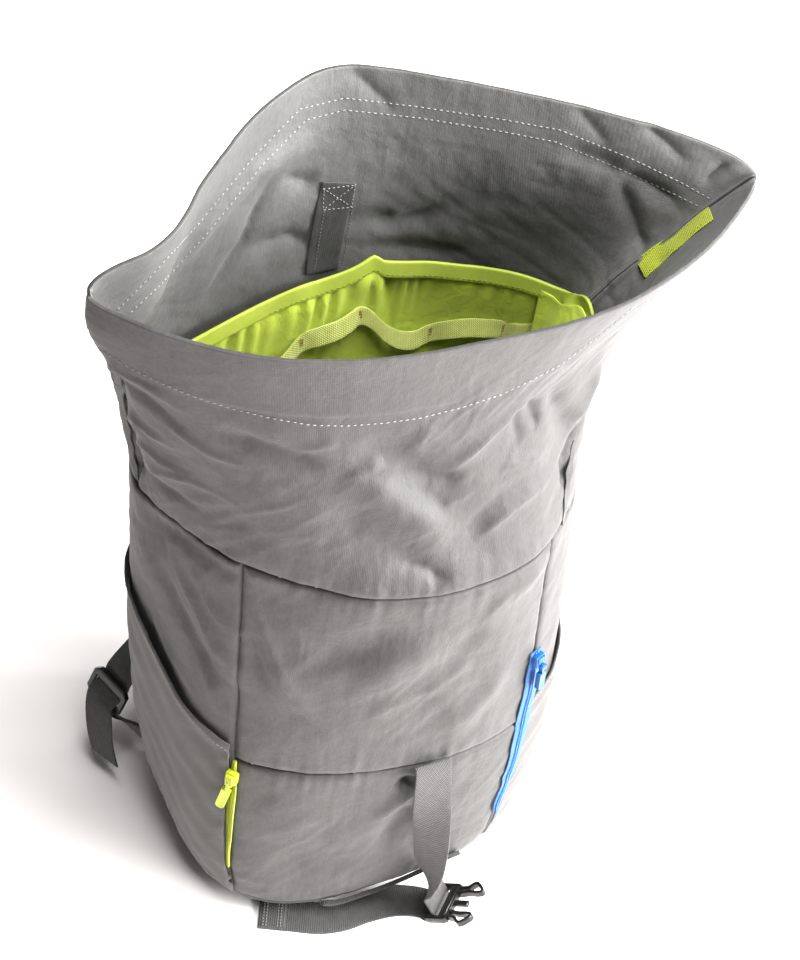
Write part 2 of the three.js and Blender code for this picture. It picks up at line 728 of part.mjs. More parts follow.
// One loop of the chain, from tack to tack, with a slit between neighbours at the tack
function daisyStations(loop) {
  const rise = 1 - daisy.drop / (sleeve.topZ - bagPoint(0.75, sleeve.bottom).z);
  const slit = pieceGap / ringLength;
  const loopTurn = (daisy.to - daisy.from) / daisy.loops;
  const start = daisy.from + loop * loopTurn + slit;
  const end = start + loopTurn - 2 * slit;
  return Array.from({ length: daisy.stepsPerLoop + 1 }, (_, k) => {
    const share = k / daisy.stepsPerLoop;
    const across = THREE.MathUtils.lerp(start, end, share);
    const inside = -(sleeve.thickness + daisy.stand + daisy.thickness / 2
      + daisy.bow * Math.sin(Math.PI * share));
    const low = sleevePoint(across, rise - 0.02, 0);
    const high = sleevePoint(across, rise + 0.02, 0);
    return { at: sleevePoint(across, rise, inside), across: high.sub(low).normalize() };
  });
}
for (let loop = 0; loop < daisy.loops; loop += 1) {
  addPiece(`inner_webbing_${loop + 1}`,
    stripSolid(daisyStations(loop), narrowWebbing, daisy.thickness), materials.limeTape);
}

// A narrow strip lying up the wall, inside below zero lift and outside above
function wallStrip(across, lowZ, highZ, width, lift, thickness) {
  const halfTurn = width / 2 / ringLength;
  const columns = [across - halfTurn, across, across + halfTurn];
  const low = levelAt(across, lowZ);
  const high = levelAt(across, highZ);
  const between = rowStops(level.collar, level.rim).filter((up) => up > low + 0.08 && up < high - 0.08);
  const rows = [low, ...between, high];
  const grid = (out) => rows.map((up) => columns.map((column) => clothPoint(column, up, out)));
  return wallSolid(grid(lift + thickness), grid(lift));
}
const trimThickness = 1;
const insideHem = -(hemThickness + pieceGap + trimThickness);
const insideWall = -(wallThickness + pieceGap + trimThickness);
const anchor = { across: 0.747, lowZ: 432, highZ: 500, width: 25 };
addPiece('inner_anchor_strip',
  wallStrip(anchor.across, anchor.lowZ, anchor.highZ, anchor.width, insideWall, trimThickness),
  materials.webbing);
const tape = { across: 0.489, lowZ: 468, highZ: 510, width: 10, clearance: 0.6 };
addPiece('seam_tape',
  wallStrip(tape.across, tape.lowZ, tape.highZ, tape.width, insideHem - tape.clearance, trimThickness),
  materials.lime);

// Rear closure strap and its plain buckle half, hanging outside the back of the collar
const rearStrap = { lowZ: 404, highZ: 508 };
addPiece('back_closure_strap',
  wallStrip(anchor.across, rearStrap.lowZ, rearStrap.highZ, webbingWidth, pieceGap, webbingThickness),
  materials.webbing);
const femaleBuckle = { width: 34, length: 40, thickness: 9, chamfer: 6, stand: 2 };
const femaleFrame = clothFrame(anchor.across, levelAt(anchor.across, rearStrap.lowZ), pieceGap);
femaleFrame.origin.addScaledVector(femaleFrame.rise, -femaleBuckle.length / 2 - pieceGap);
femaleFrame.origin.addScaledVector(femaleFrame.out, femaleBuckle.stand);
addPiece('back_buckle',
  placed(plate(rectangle(femaleBuckle.width, femaleBuckle.length, femaleBuckle.chamfer),
    femaleBuckle.thickness), femaleFrame),
  materials.blackPlastic);

// Shoulder straps, written for the right side and mirrored for the left
const pad = { width: 62, thickness: 12, rounding: 3.5, steps: 12 };
const padRows = table(stationColumns, [
  [38, 98, 338, 1, 0, 0],
  [41, 112, 318, 1, 0, 0.1],
  [48, 122, 272, 0.97, 0, 0.2],
  [57, 122, 220, 0.95, 0, 0.26],
  [67, 115, 172, 0.93, 0, 0.32],
  [76, 106, 138, 0.9, 0, 0.42],
]);
const webbingRows = table(stationColumns, [
  [80, 103.5, 130, 0.88, 0.1, 0.46],
  [96, 100, 112, 0.75, 0.4, 0.5],
  [114, 95, 95, 0.55, 0.75, 0.4],
]);
const tailDropRows = table(stationColumns, [
  [150, 80, 56, 0.5, 0.85, 0],
  [152, 70, 40, 0.5, 0.85, 0],
  [151, 61, 26, 0.5, 0.85, 0],
]);
const lock = { width: 34, length: 24, thickness: 4, chamfer: 4, slotWidth: 27, slotLength: 10 };
const lockPlace = {
  origin: new THREE.Vector3(141, 88, 67),
  along: new THREE.Vector3(0.4, 0.9, 0.15),
  rise: new THREE.Vector3(-0.25, 0.25, 0.93),
};
const slotTurn = table(['y', 'z'], [[18, -4.5], [8, -4.2], [0, 0], [-6, 4.6]]);
const wing = { from: 18, to: 50, tip: 26, columns: 5, thickness: 2.4, lift: 2.5, gap: 3, bow: 2 };

function sided(vector, side) {
  return new THREE.Vector3(side * vector.x, vector.y, vector.z);
}

function sidedRows(rows, side) {
  return rows.map((row) => ({ ...row, x: side * row.x, acrossX: side * row.acrossX }));
}

function lockFrame(side) {
  return frameOf(sided(lockPlace.origin, side), sided(lockPlace.along, side), sided(lockPlace.rise, side));
}

function ladderLock(side) {
  const slot = rectangle(lock.slotWidth, lock.slotLength);
  const body = plate(rectangle(lock.width, lock.length, lock.chamfer), lock.thickness, [slot]);
  return placed(body.translate(0, 0, -lock.thickness / 2), lockFrame(side));
}

function strapWebbing(side) {
  const { origin, along, rise, out } = lockFrame(side);
  const threaded = slotTurn.map(({ y, z }) => {
    const at = origin.clone().addScaledVector(rise, y).addScaledVector(out, side * z);
    return { x: at.x, y: at.y, z: at.z, acrossX: along.x, acrossY: along.y, acrossZ: along.z };
  });
  const rows = [...sidedRows(webbingRows, side), ...threaded, ...sidedRows(tailDropRows, side)];
  return stripSolid(smoothStations(rows, 24), webbingWidth, webbingThickness);
}

// Triangular wing from the lower back seam out to the lock
function strapWing(side, across) {
  const { origin, along, rise } = lockFrame(side);
  const tip = origin.clone().addScaledVector(rise, -lock.length / 2 - wing.gap);
  const roots = [wing.from, wing.to].map((height) =>
    clothPoint(across, levelAt(across, height), wing.lift));
  const normal = tip.clone().sub(roots[0]).cross(roots[1].clone().sub(roots[0])).normalize();
  const face = (lift) => roots.map((root, row) => {
    const end = tip.clone().addScaledVector(along, (0.5 - row) * wing.tip);
    return Array.from({ length: wing.columns + 1 }, (_, k) => {
      const share = k / wing.columns;
      const bow = wing.bow * Math.sin(Math.PI * share);
      return root.clone().lerp(end, share).addScaledVector(normal, lift + bow);
    });
  });
  return wallSolid(face(wing.thickness / 2), face(-wing.thickness / 2));
}

for (const [name, side, across] of [['left', -1, seam.backLeft], ['right', 1, seam.backRight]]) {
  addPiece(`shoulder_strap_${name}`,
    stripSolid(smoothStations(sidedRows(padRows, side), pad.steps), pad.width, pad.thickness, pad.rounding),
    materials.stretch);
  addPiece(`ladder_lock_${name}`, ladderLock(side), materials.blackPlastic);
  addPiece(`strap_webbing_${name}`, strapWebbing(side), materials.webbing);
  addPiece(`strap_wing_${name}`, strapWing(side, across), materials.nylon);
}

export default bag;
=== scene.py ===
import bmesh
import bpy
import math
import numpy as np
from mathutils import Matrix, Vector, noise
from mathutils.bvhtree import BVHTree
from mathutils.kdtree import KDTree


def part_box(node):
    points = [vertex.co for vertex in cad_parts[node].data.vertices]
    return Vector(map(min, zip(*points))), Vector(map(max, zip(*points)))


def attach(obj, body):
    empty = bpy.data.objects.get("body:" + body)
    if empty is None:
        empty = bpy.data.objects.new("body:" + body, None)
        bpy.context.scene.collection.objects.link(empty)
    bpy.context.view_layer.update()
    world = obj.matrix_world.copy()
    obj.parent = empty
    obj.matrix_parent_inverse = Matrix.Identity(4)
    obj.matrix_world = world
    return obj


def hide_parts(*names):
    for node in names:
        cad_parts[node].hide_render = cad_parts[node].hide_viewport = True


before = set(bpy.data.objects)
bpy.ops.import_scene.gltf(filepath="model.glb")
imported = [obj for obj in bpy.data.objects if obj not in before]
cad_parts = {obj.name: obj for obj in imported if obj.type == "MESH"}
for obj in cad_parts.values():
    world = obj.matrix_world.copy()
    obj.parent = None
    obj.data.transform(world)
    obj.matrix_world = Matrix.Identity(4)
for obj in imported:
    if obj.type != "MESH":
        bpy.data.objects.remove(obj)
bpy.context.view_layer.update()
mm = 0.001
print("frame loaded with", len(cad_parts), "nodes")

# camera, fitted to the outline of the bag; pixels are those of the 800 by 960 picture
photo = {
    "width": 800, "height": 960, "focalPixels": 2000.3, "sensor": 36.0, "clip": (0.01, 20),
    "position": Vector((-368.87, -779.02, 1206.57)) * mm,
    "right": Vector((0.92783, -0.36103, 0.09373)),
    "up": Vector((0.19808, 0.68984, 0.69634)),
    "forward": Vector((0.31606, 0.62752, -0.71156)),
}


def makeCamera():
    data = bpy.data.cameras.new("photoCamera")
    data.sensor_width = photo["sensor"]
    data.lens = photo["focalPixels"] / photo["height"] * photo["sensor"]
    data.clip_start, data.clip_end = photo["clip"]
    camera = bpy.data.objects.new("photoCamera", data)
    turn = Matrix((photo["right"], photo["up"], -photo["forward"])).transposed()
    camera.matrix_world = Matrix.Translation(photo["position"]) @ turn.to_4x4()
    bpy.context.scene.collection.objects.link(camera)
    bpy.context.scene.camera = camera


def pixelRay(x, y):
    aside = photo["right"] * ((x - photo["width"] / 2) / photo["focalPixels"])
    above = photo["up"] * ((photo["height"] / 2 - y) / photo["focalPixels"])
    return photo["position"], (photo["forward"] + aside + above).normalized()


makeCamera()


# small helpers for nodes, meshes and pieces
def linearColour(hexColour):
    channels = [int(hexColour[i:i + 2], 16) / 255 for i in (1, 3, 5)]
    return [c / 12.92 if c <= 0.04045 else ((c + 0.055) / 1.055) ** 2.4 for c in channels] + [1.0]


def addNode(tree, kind, inputs=None, **settings):
    node = tree.nodes.new(kind)
    for key, value in settings.items():
        setattr(node, key, value)
    for socket, value in (inputs or {}).items():
        if isinstance(value, bpy.types.NodeSocket):
            tree.links.new(value, node.inputs[socket])
        else:
            node.inputs[socket].default_value = value
    return node


def startMaterial(name):
    material = bpy.data.materials.new(name)
    material.use_nodes = True
    tree = material.node_tree
    return material, tree, tree.nodes["Principled BSDF"]


def perMetre(size):  # texture scale for a feature of this size in millimetres
    return 1 / (size * mm)


def bandScale(size):  # Wave texture scale for bands of this spacing in millimetres
    return 2 * math.pi / 20 * perMetre(size)


def clamped(value):
    return min(1, max(0, value))


def newObject(name, bm, material):
    mesh = bpy.data.meshes.new(name)
    bm.to_mesh(mesh)
    bm.free()
    mesh.materials.append(material)
    for polygon in mesh.polygons:
        polygon.use_smooth = True
        polygon.material_index = 0
    obj = bpy.data.objects.new(name, mesh)
    bpy.context.scene.collection.objects.link(obj)
    return obj


def hardObject(name, bm, material, degrees=40):  # smooth with sharp edges above this angle
    obj = newObject(name, bm, material)
    obj.data.set_sharp_from_angle(angle=math.radians(degrees))
    return obj


def addWall(obj, thickness, offset):
    wall = obj.modifiers.new("Wall", "SOLIDIFY")
    wall.thickness = thickness * mm
    wall.offset = offset
    return wall


def addRounding(obj, width, method):
    edge = obj.modifiers.new("Edge", "BEVEL")
    edge.width = width * mm
    edge.segments = 2
    edge.limit_method = method
    edge.angle_limit = math.radians(50)


def register(obj, slot, *nodes, body="bag"):
    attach(obj, body)
    if nodes:
        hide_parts(*nodes)
    return obj


def cadCopy(node):
    bm = bmesh.new()
    bm.from_mesh(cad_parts[node].data)
    bmesh.ops.remove_doubles(bm, verts=bm.verts, dist=0.01 * mm)
    return bm


def toQuads(bm):
    bmesh.ops.join_triangles(
        bm, faces=bm.faces, cmp_materials=True,
        angle_face_threshold=math.pi, angle_shape_threshold=math.pi)


def bevelEdges(bm, edges, width, segments=2):
    bmesh.ops.bevel(bm, geom=edges, offset=width * mm, affect="EDGES", segments=segments, profile=0.5,
                    material=-1, clamp_overlap=True)


def joinInto(bm, other):  # adds another bmesh and frees it
    mesh = bpy.data.meshes.new("part")
    other.to_mesh(mesh)
    other.free()
    bm.from_mesh(mesh)
    bpy.data.meshes.remove(mesh)


def subdivided(bm, levels):  # Catmull-Clark, back as a bmesh
    mesh = bpy.data.meshes.new("cage")
    bm.to_mesh(mesh)
    bm.free()
    obj = bpy.data.objects.new("cage", mesh)
    bpy.context.scene.collection.objects.link(obj)
    modifier = obj.modifiers.new("Subdivision", "SUBSURF")
    modifier.levels = modifier.render_levels = levels
    modifier.boundary_smooth = "PRESERVE_CORNERS"
    fine = bmesh.new()
    fine.from_object(obj, bpy.context.evaluated_depsgraph_get())
    bpy.data.objects.remove(obj)
    bpy.data.meshes.remove(mesh)
    return fine


def softCopy(node, levels, sharp=50):  # a solid rounded all over, apart from its sharp edges
    bm = cadCopy(node)
    toQuads(bm)
    layer = bm.edges.layers.float.new("crease_edge")
    for edge in bm.edges:
        if len(edge.link_faces) == 2 and edge.calc_face_angle() > math.radians(sharp):
            edge[layer] = 1.0
    return subdivided(bm, levels)


def treeOf(objects):  # one search tree over the finished surfaces
    graph = bpy.context.evaluated_depsgraph_get()
    joined = bmesh.new()
    for obj in objects:
        joined.from_object(obj, graph)
    tree = BVHTree.FromBMesh(joined)
    joined.free()
    return tree


def finderOf(places):  # finds the nearest of these places
    finder = KDTree(len(places))
    for k, place in enumerate(places):
        finder.insert(place, k)
    finder.balance()
    return finder


def positions(bm):
    return np.array([v.co for v in bm.verts])


def setPositions(bm, places):
    for v, place in zip(bm.verts, places):
        v.co = place
    bm.normal_update()


def evened(values, rounds):  # an even line that skips the cloth's small folds
    for _ in range(rounds):
        values[1:-1] = (values[:-2] + values[1:-1] * 2 + values[2:]) / 4


# material helpers, each gives the output socket of one node; sizes and depths in millimetres
def objectPlace(tree):
    return addNode(tree, "ShaderNodeTexCoord").outputs["Object"]


def clothPlace(tree):  # a place on the unrolled cloth
    return addNode(tree, "ShaderNodeUVMap", uv_map="cloth").outputs["UV"]


def turned(tree, vector, degrees=0, scale=(1.0, 1.0, 1.0)):
    inputs = {"Vector": vector, "Rotation": (0.0, 0.0, math.radians(degrees)), "Scale": scale}
    return addNode(tree, "ShaderNodeMapping", inputs).outputs["Vector"]


def mottled(tree, vector, size, detail, kind="FBM", **more):
    inputs = {"Vector": vector, "Scale": perMetre(size), "Detail": detail, **more}
    return addNode(tree, "ShaderNodeTexNoise", inputs, noise_type=kind).outputs["Fac"]


def banded(tree, vector, size, way, distortion, detail=1.0):
    inputs = {"Vector": vector, "Scale": bandScale(size), "Distortion": distortion, "Detail": detail}
    return addNode(tree, "ShaderNodeTexWave", inputs, bands_direction=way).outputs["Fac"]


def counted(tree, operation, *values):
    return addNode(tree, "ShaderNodeMath", dict(enumerate(values)), operation=operation).outputs[0]


def ranged(tree, value, low, high):
    inputs = {"Value": value, "From Min": low, "From Max": high}
    return addNode(tree, "ShaderNodeMapRange", inputs).outputs["Result"]


def bumped(tree, height, strength, depth, below=None):
    inputs = {"Height": height, "Strength": strength, "Distance": depth * mm}
    if below is not None:
        inputs["Normal"] = below
    return addNode(tree, "ShaderNodeBump", inputs).outputs["Normal"]


def dress(tree, shader, share, dark, light, normal, roughness, sheen=0.0):
    colours = {"Factor": share, "A": linearColour(dark), "B": linearColour(light)}
    colour = addNode(tree, "ShaderNodeMix", colours, data_type="RGBA").outputs["Result"]
    tree.links.new(colour, shader.inputs["Base Color"])
    tree.links.new(normal, shader.inputs["Normal"])
    shader.inputs["Roughness"].default_value = roughness
    shader.inputs["Sheen Weight"].default_value = sheen


# materials
def nylonMaterial(name, dark, light):  # plain-weave nylon, washed and crinkled: soft mottling, fine threads
    look = {"mottle": 26, "streak": 2.2, "crinkle": 6, "crease": 15, "slants": (38, -52), "thread": 1.3}
    material, tree, shader = startMaterial(name)
    place, flat = objectPlace(tree), clothPlace(tree)
    mottle = mottled(tree, place, look["mottle"], 6.0, Roughness=0.62)
    streak = mottled(tree, turned(tree, flat, scale=(1.0, 0.4, 1.0)), look["streak"], 3.0)
    share = ranged(tree, counted(tree, "ADD", mottle, streak), 0.7, 1.3)
    # the real threads are under half a millimetre, drawn coarser so that they show
    warp, weft = [banded(tree, flat, look["thread"], way, 1.5, 2.0) for way in "XY"]
    normal = bumped(tree, counted(tree, "ADD", warp, weft), 0.25, 0.12)
    wrinkles = mottled(tree, place, look["crinkle"], 5.0, Roughness=0.6, Distortion=0.6)
    normal = bumped(tree, wrinkles, 0.5, 0.9, normal)
    for degrees in look["slants"]:
        slanted = turned(tree, flat, degrees, (1.0, 0.28, 1.0))
        ridges = mottled(tree, slanted, look["crease"], 2.5, "RIDGED_MULTIFRACTAL",
                         Roughness=0.5, Distortion=0.5)
        normal = bumped(tree, ridges, 0.45, 0.9, normal)
    dress(tree, shader, share, dark, light, normal, 0.6, 0.12)
    shader.inputs["Specular IOR Level"].default_value = 0.4
    shader.inputs["Sheen Roughness"].default_value = 0.4
    return material


def plainCloth(name, dark, light, size, roughness, depth):  # an even surface with faint mottling and grain
    material, tree, shader = startMaterial(name)
    place = objectPlace(tree)
    normal = bumped(tree, mottled(tree, place, 1.2, 2.0), 0.4, depth)
    dress(tree, shader, mottled(tree, place, size, 5.0), dark, light, normal, roughness)
    return material


def wovenBand(name, dark, light, twill, rib):  # webbing: slanted twill over cross ribs, dull
    material, tree, shader = startMaterial(name)
    flat = clothPlace(tree)
    # the yarns are about half a millimetre, drawn coarser so that they show
    slant = banded(tree, flat, twill / 2, "DIAGONAL", 0.8)
    yarns = counted(tree, "ADD", slant, banded(tree, flat, rib, "Y", 0.6))
    shade = counted(tree, "MULTIPLY_ADD", yarns, 0.35, mottled(tree, objectPlace(tree), 5, 4.0))
    normal = bumped(tree, yarns, 0.6, 0.35)
    dress(tree, shader, ranged(tree, shade, 0.4, 1.3), dark, light, normal, 0.72, 0.15)
    return material


def knitMaterial(name, dark, light):  # knitted elastane: a fine slanted grid of stitches, a little dusty
    look = {"stitch": 1.5, "mottle": 18}
    material, tree, shader = startMaterial(name)
    flat = clothPlace(tree)
    ways = (flat, turned(tree, flat, 90))
    waves = [banded(tree, way, look["stitch"] / 2, "DIAGONAL", 0.7) for way in ways]
    grid = counted(tree, "MULTIPLY", *waves)
    shade = counted(tree, "MULTIPLY_ADD", grid, 0.4, mottled(tree, objectPlace(tree), look["mottle"], 6.0))
    normal = bumped(tree, grid, 0.5, 0.3)
    dress(tree, shader, ranged(tree, shade, 0.35, 1.0), dark, light, normal, 0.85, 0.2)
    return material


def coatedNylon(name, dark, light):  # thin coated lining: smooth, slightly shiny, fine crinkles
    look = {"mottle": 26, "crinkle": 8}
    material, tree, shader = startMaterial(name)
    place = objectPlace(tree)
    normal = bumped(tree, mottled(tree, place, look["crinkle"], 4.0, Distortion=1.2), 0.6, 1.0)
    dress(tree, shader, mottled(tree, place, look["mottle"], 5.0), dark, light, normal, 0.36, 0.1)
    return material


nylon = nylonMaterial("crinkledNylon", "#353433", "#424140")  # the shell's cloth, mid grey with a soft sheen
coatedInsideAndPaintedLight = nylonMaterial("nylonCoatedSideAndPaintedLight", "#565554", "#646362")  # the same cloth's inner face, paler than the shell: partly its coating, partly painted light for the glow through the thin wall
stretchKnit = knitMaterial("elastaneKnit", "#403d3b", "#504d4b")  # the pockets, warmer and duller
greyWebbing = wovenBand("polyesterWebbing", "#282726", "#454443", 2.2, 1.5)  # dark grey, visibly ribbed
strapWebbing = wovenBand("darkPolyesterWebbing", "#1c1b1b", "#343332", 2.2, 1.5)  # nearly black
blackWebbing = wovenBand("blackPolypropyleneWebbing", "#100f0e", "#24211f", 1.8, 1.2)  # stiff lash tape
limeWebbing = wovenBand("limePolyesterWebbing", "#a6b040", "#cdd47e", 1.6, 1.3)  # paler than the lining
limeTapeAndPaintedSeamShade = wovenBand("limePolyesterTapeAndSeamShade", "#97a31a", "#b4be34", 1.4, 1.1)  # fine woven polyester tape; on the seam tape inside the mouth its darker colour is painted shade
blueTape = wovenBand("bluePolyesterTape", "#10498a", "#1863a6", 1.4, 1.1)  # the same in a strong blue
limeNylon = coatedNylon("limeCoatedNylon", "#b8cd3c", "#cfe058")  # bright lining that lights up the inside
limeBinding = plainCloth("limeNylonBinding", "#9db036", "#b4c350", 4, 0.55, 0.25)  # folded nylon tape, soft
limeZip = plainCloth("limePolyesterZip", "#a9b61c", "#bac42e", 8, 0.34, 0.1)  # dyed coil and pull, satin
blueZip = plainCloth("bluePolyesterZip", "#0e4a8e", "#155aa2", 8, 0.34, 0.1)  # the same in blue
acetal = plainCloth("blackAcetal", "#0f0e0e", "#171615", 10, 0.3, 0.05)  # moulded buckles, soft lights
spacerMesh = plainCloth("polyesterSpacerMesh", "#383634", "#464442", 3, 0.9, 0.5)  # rough and matt
polyesterThread = plainCloth("polyesterThread", "#7e7e7c", "#929290", 2, 0.6, 0.1)  # pale, stands out
greyThread = plainCloth("greyPolyesterThread", "#615f5e", "#716f6d", 2, 0.6, 0.1)  # nearly the cloth's grey
limeThread = plainCloth("limePolyesterThread", "#6a7c16", "#7a8e22", 2, 0.6, 0.1)  # darker than the lining
tackThread = plainCloth("brownPolyesterThread", "#7c6420", "#8e742c", 2, 0.6, 0.1)  # brownish bar tacks
print("materials made")


# the shell: outer faces of the cloth walls, joined to one sheet and cut back to panels at the end
shell = {
    "panels": ["collar_front", "collar_back", "front_panel", "front_pocket_panel", "left_side_panel",
               "right_side_panel", "back_panel", "base_panel"],
    "axisY": -8, "axis": Vector((0, -8, 0)) * mm, "radius": 125,
    "wallLimit": 3.5, "flatFace": 0.95, "seamMerge": 1.8, "footHeight": 5, "footSteps": (12, 25, 30),
    "levels": 3, "thickness": 1.2, "hemThickness": 2.4, "rounding": 0.7,
}


def outerFaces(node):
    bm = cadCopy(node)
    tree = BVHTree.FromBMesh(bm)
    dropped = []
    for face in bm.faces:
        centre = face.calc_center_median()
        reach = tree.ray_cast(centre - face.normal * 0.05 * mm, -face.normal)[3]
        outward = Vector((centre.x, centre.y, 0)) - shell["axis"]
        thin = reach is not None and reach < shell["wallLimit"] * mm
        if not thin or face.normal.dot(outward) <= 0 or abs(face.normal.z) > shell["flatFace"]:
            dropped.append(face)
    bmesh.ops.delete(bm, geom=dropped, context="FACES")
    return bm


def shellSheet():
    sheet = bmesh.new()
    for index, node in enumerate(shell["panels"]):
        wall = outerFaces(node)
        for face in wall.faces:
            face.material_index = index
        joinInto(sheet, wall)
    bmesh.ops.remove_doubles(sheet, verts=sheet.verts, dist=shell["seamMerge"] * mm)
    toQuads(sheet)
    low = shell["footHeight"] * mm
    foot = [e for e in sheet.edges if e.is_boundary and max(v.co.z for v in e.verts) < low]
    filled = bmesh.ops.edgeloop_fill(sheet, edges=foot)["faces"]
    for face in filled:
        face.material_index = len(shell["panels"]) - 1
    for step in shell["footSteps"]:
        bmesh.ops.inset_region(sheet, faces=filled, thickness=step * mm, use_even_offset=True)
    sheet.normal_update()
    return subdivided(sheet, shell["levels"])


sheet = shellSheet()
print("shell sheet:", len(sheet.verts), "points,", len(sheet.faces), "faces")


# a smooth line through rows of numbers, the first three a place
def spline(rows, step):
    rows = [np.array(row, float) for row in rows]
    ends = [2 * rows[0] - rows[1]] + rows + [2 * rows[-1] - rows[-2]]
    fine = []
    for a, b, c, d in zip(ends, ends[1:], ends[2:], ends[3:]):
        count = max(2, int(np.linalg.norm((c - b)[:3]) / step))
        for k in range(count):
            t = k / count
            bend = (2 * a - 5 * b + 4 * c - d) * t * t + (3 * b - a - 3 * c + d) * t ** 3
            fine.append(0.5 * (2 * b + (c - a) * t + bend))
    fine.append(rows[-1])
    return np.array(fine)


def pixelLine(tree, pixels, step=3.0, count=None):  # places and normals of the cloth behind a line of pixels
    marks = []
    for (x0, y0), (x1, y1) in zip(pixels, pixels[1:]):
        parts = count or max(1, int(math.hypot(x1 - x0, y1 - y0) / step))
        for k in range(parts):
            start, way = pixelRay(x0 + (x1 - x0) * k / parts, y0 + (y1 - y0) * k / parts)
            hit, normal, _, _ = tree.ray_cast(start, way)
            if hit is not None:
                marks.append((hit, normal))
    return marks


# folds read off the picture: pixels along the fold, its half width and its height towards the viewer in mm
folds = [
    # collar, front
    ([(350, 468), (400, 503), (458, 546)], 13, 4.5),
    ([(330, 500), (380, 545), (435, 575)], 15, -3.5),
    ([(395, 468), (470, 484)], 6, -1.9),
    ([(365, 461), (402, 470)], 3, 1.0),
    ([(428, 482), (480, 476)], 3, 1.0),
    ([(438, 503), (478, 490)], 3, 1.1),
    ([(414, 488), (452, 512)], 3, -1.0),
    ([(500, 470), (546, 452)], 3, 0.9),
    ([(300, 452), (345, 440)], 3, 0.8),
    ([(160, 420), (205, 452), (250, 470)], 3, 1.2),
    ([(146, 470), (190, 480), (240, 505)], 3, 1.1),
    ([(136, 440), (160, 462), (196, 478)], 3, 1.2),
    ([(448, 472), (490, 432), (534, 396)], 5, 2.2),
    ([(473, 540), (512, 505), (553, 474)], 5, 2.4),
    ([(462, 532), (500, 498), (540, 470)], 5, -1.1),
    ([(398, 564), (430, 572), (452, 586)], 6, -3.5),
    ([(515, 408), (518, 450)], 4, -1.8),
    ([(530, 399), (538, 432)], 4, -2.0),
    ([(551, 388), (560, 412), (573, 436)], 7, -3.5),
    ([(600, 362), (586, 396), (572, 428)], 6, 2.5),
    ([(582, 420), (566, 458), (568, 495)], 4, -4.5),
    ([(407, 452), (440, 418)], 6, 1.4),
    ([(110, 364), (150, 388), (194, 417)], 4, 1.8),
    ([(123, 408), (150, 432), (186, 455)], 4, 1.8),
    ([(112, 376), (150, 404), (190, 436)], 6, -2.2),
    ([(213, 430), (270, 450), (335, 472)], 7, -2.4),
    ([(345, 477), (388, 453)], 5, 1.8),
    ([(130, 462), (170, 492), (215, 520)], 6, -2.2),
    # left side panel
    ([(172, 558), (194, 602), (239, 690)], 5, 2.2),
    ([(158, 560), (182, 615), (225, 700)], 7, -2.4),
    ([(200, 622), (235, 668), (240, 700)], 4, 1.6),
    ([(170, 600), (200, 660), (222, 720)], 3, 1.2),
    ([(190, 568), (214, 612), (238, 640)], 3, 1.2),
    ([(150, 600), (168, 650), (200, 705)], 4, 1.3),
    ([(152, 520), (190, 545), (238, 582)], 7, -1.8),
    # front panel
    ([(248, 592), (284, 679), (322, 722)], 5, 1.8),
    ([(246, 624), (268, 700)], 5, -1.8),
    ([(352, 690), (405, 660), (455, 632)], 18, 2.6),
    ([(300, 650), (352, 655), (420, 628)], 16, -2.4),
    ([(470, 640), (520, 590), (552, 556)], 8, 2.2),
    ([(455, 655), (500, 610), (530, 580)], 8, -2.0),
    ([(440, 740), (490, 690), (515, 640)], 10, 1.6),
    ([(480, 622), (512, 590), (545, 566)], 3, 1.1),
    ([(250, 640), (292, 700), (340, 742)], 3, 1.2),
    ([(262, 588), (300, 636), (330, 660)], 3, 1.0),
    ([(360, 720), (430, 690), (480, 655)], 4, 1.0),
    # lower front
    ([(402, 790), (418, 777)], 8, -5.0),
    ([(372, 822), (400, 800), (420, 787)], 6, 2.4),
    ([(380, 850), (400, 822), (419, 802)], 9, -4.0),
    ([(250, 830), (300, 860), (380, 868)], 14, -2.0),
    # inside of the back wall
    ([(313, 134), (252, 171), (205, 225), (166, 281)], 9, 2.6),
    ([(270, 179), (242, 244), (191, 318)], 5, -3.0),
    ([(282, 175), (319, 187)], 6, -2.4),
    ([(250, 246), (287, 236), (311, 244)], 6, -2.4),
    ([(356, 213), (395, 224), (456, 205)], 8, -3.2),
    ([(364, 246), (420, 248), (478, 256)], 8, -2.6),
    ([(346, 65), (372, 88), (398, 114)], 4, -1.5),
    ([(570, 99), (590, 122), (612, 150)], 4, -1.5),
    ([(640, 121), (662, 139), (692, 166)], 4, -1.8),
    ([(728, 160), (715, 172), (698, 188)], 4, -2.2),
    ([(619, 178), (634, 222), (648, 264)], 5, -3.2),
    ([(619, 170), (650, 186), (684, 208)], 6, -3.0),
    ([(560, 150), (600, 160), (625, 176)], 8, -2.2),
]
foldLook = {
    "strength": 1.5, "marks": 8, "step": 1.5, "reach": 0.15, "fade": 0.25, "endShare": 0.15,
    "crispWidth": 6.5, "crisp": 1.35, "soft": 2.0,  # narrow folds have a crisp edge
}
# corners of the mouth drawn out: a pixel on the cloth, where it goes and how far round it in mm
cornerPulls = [((97, 300), (93, 299), 15), ((108, 332), (101, 333), 18)]


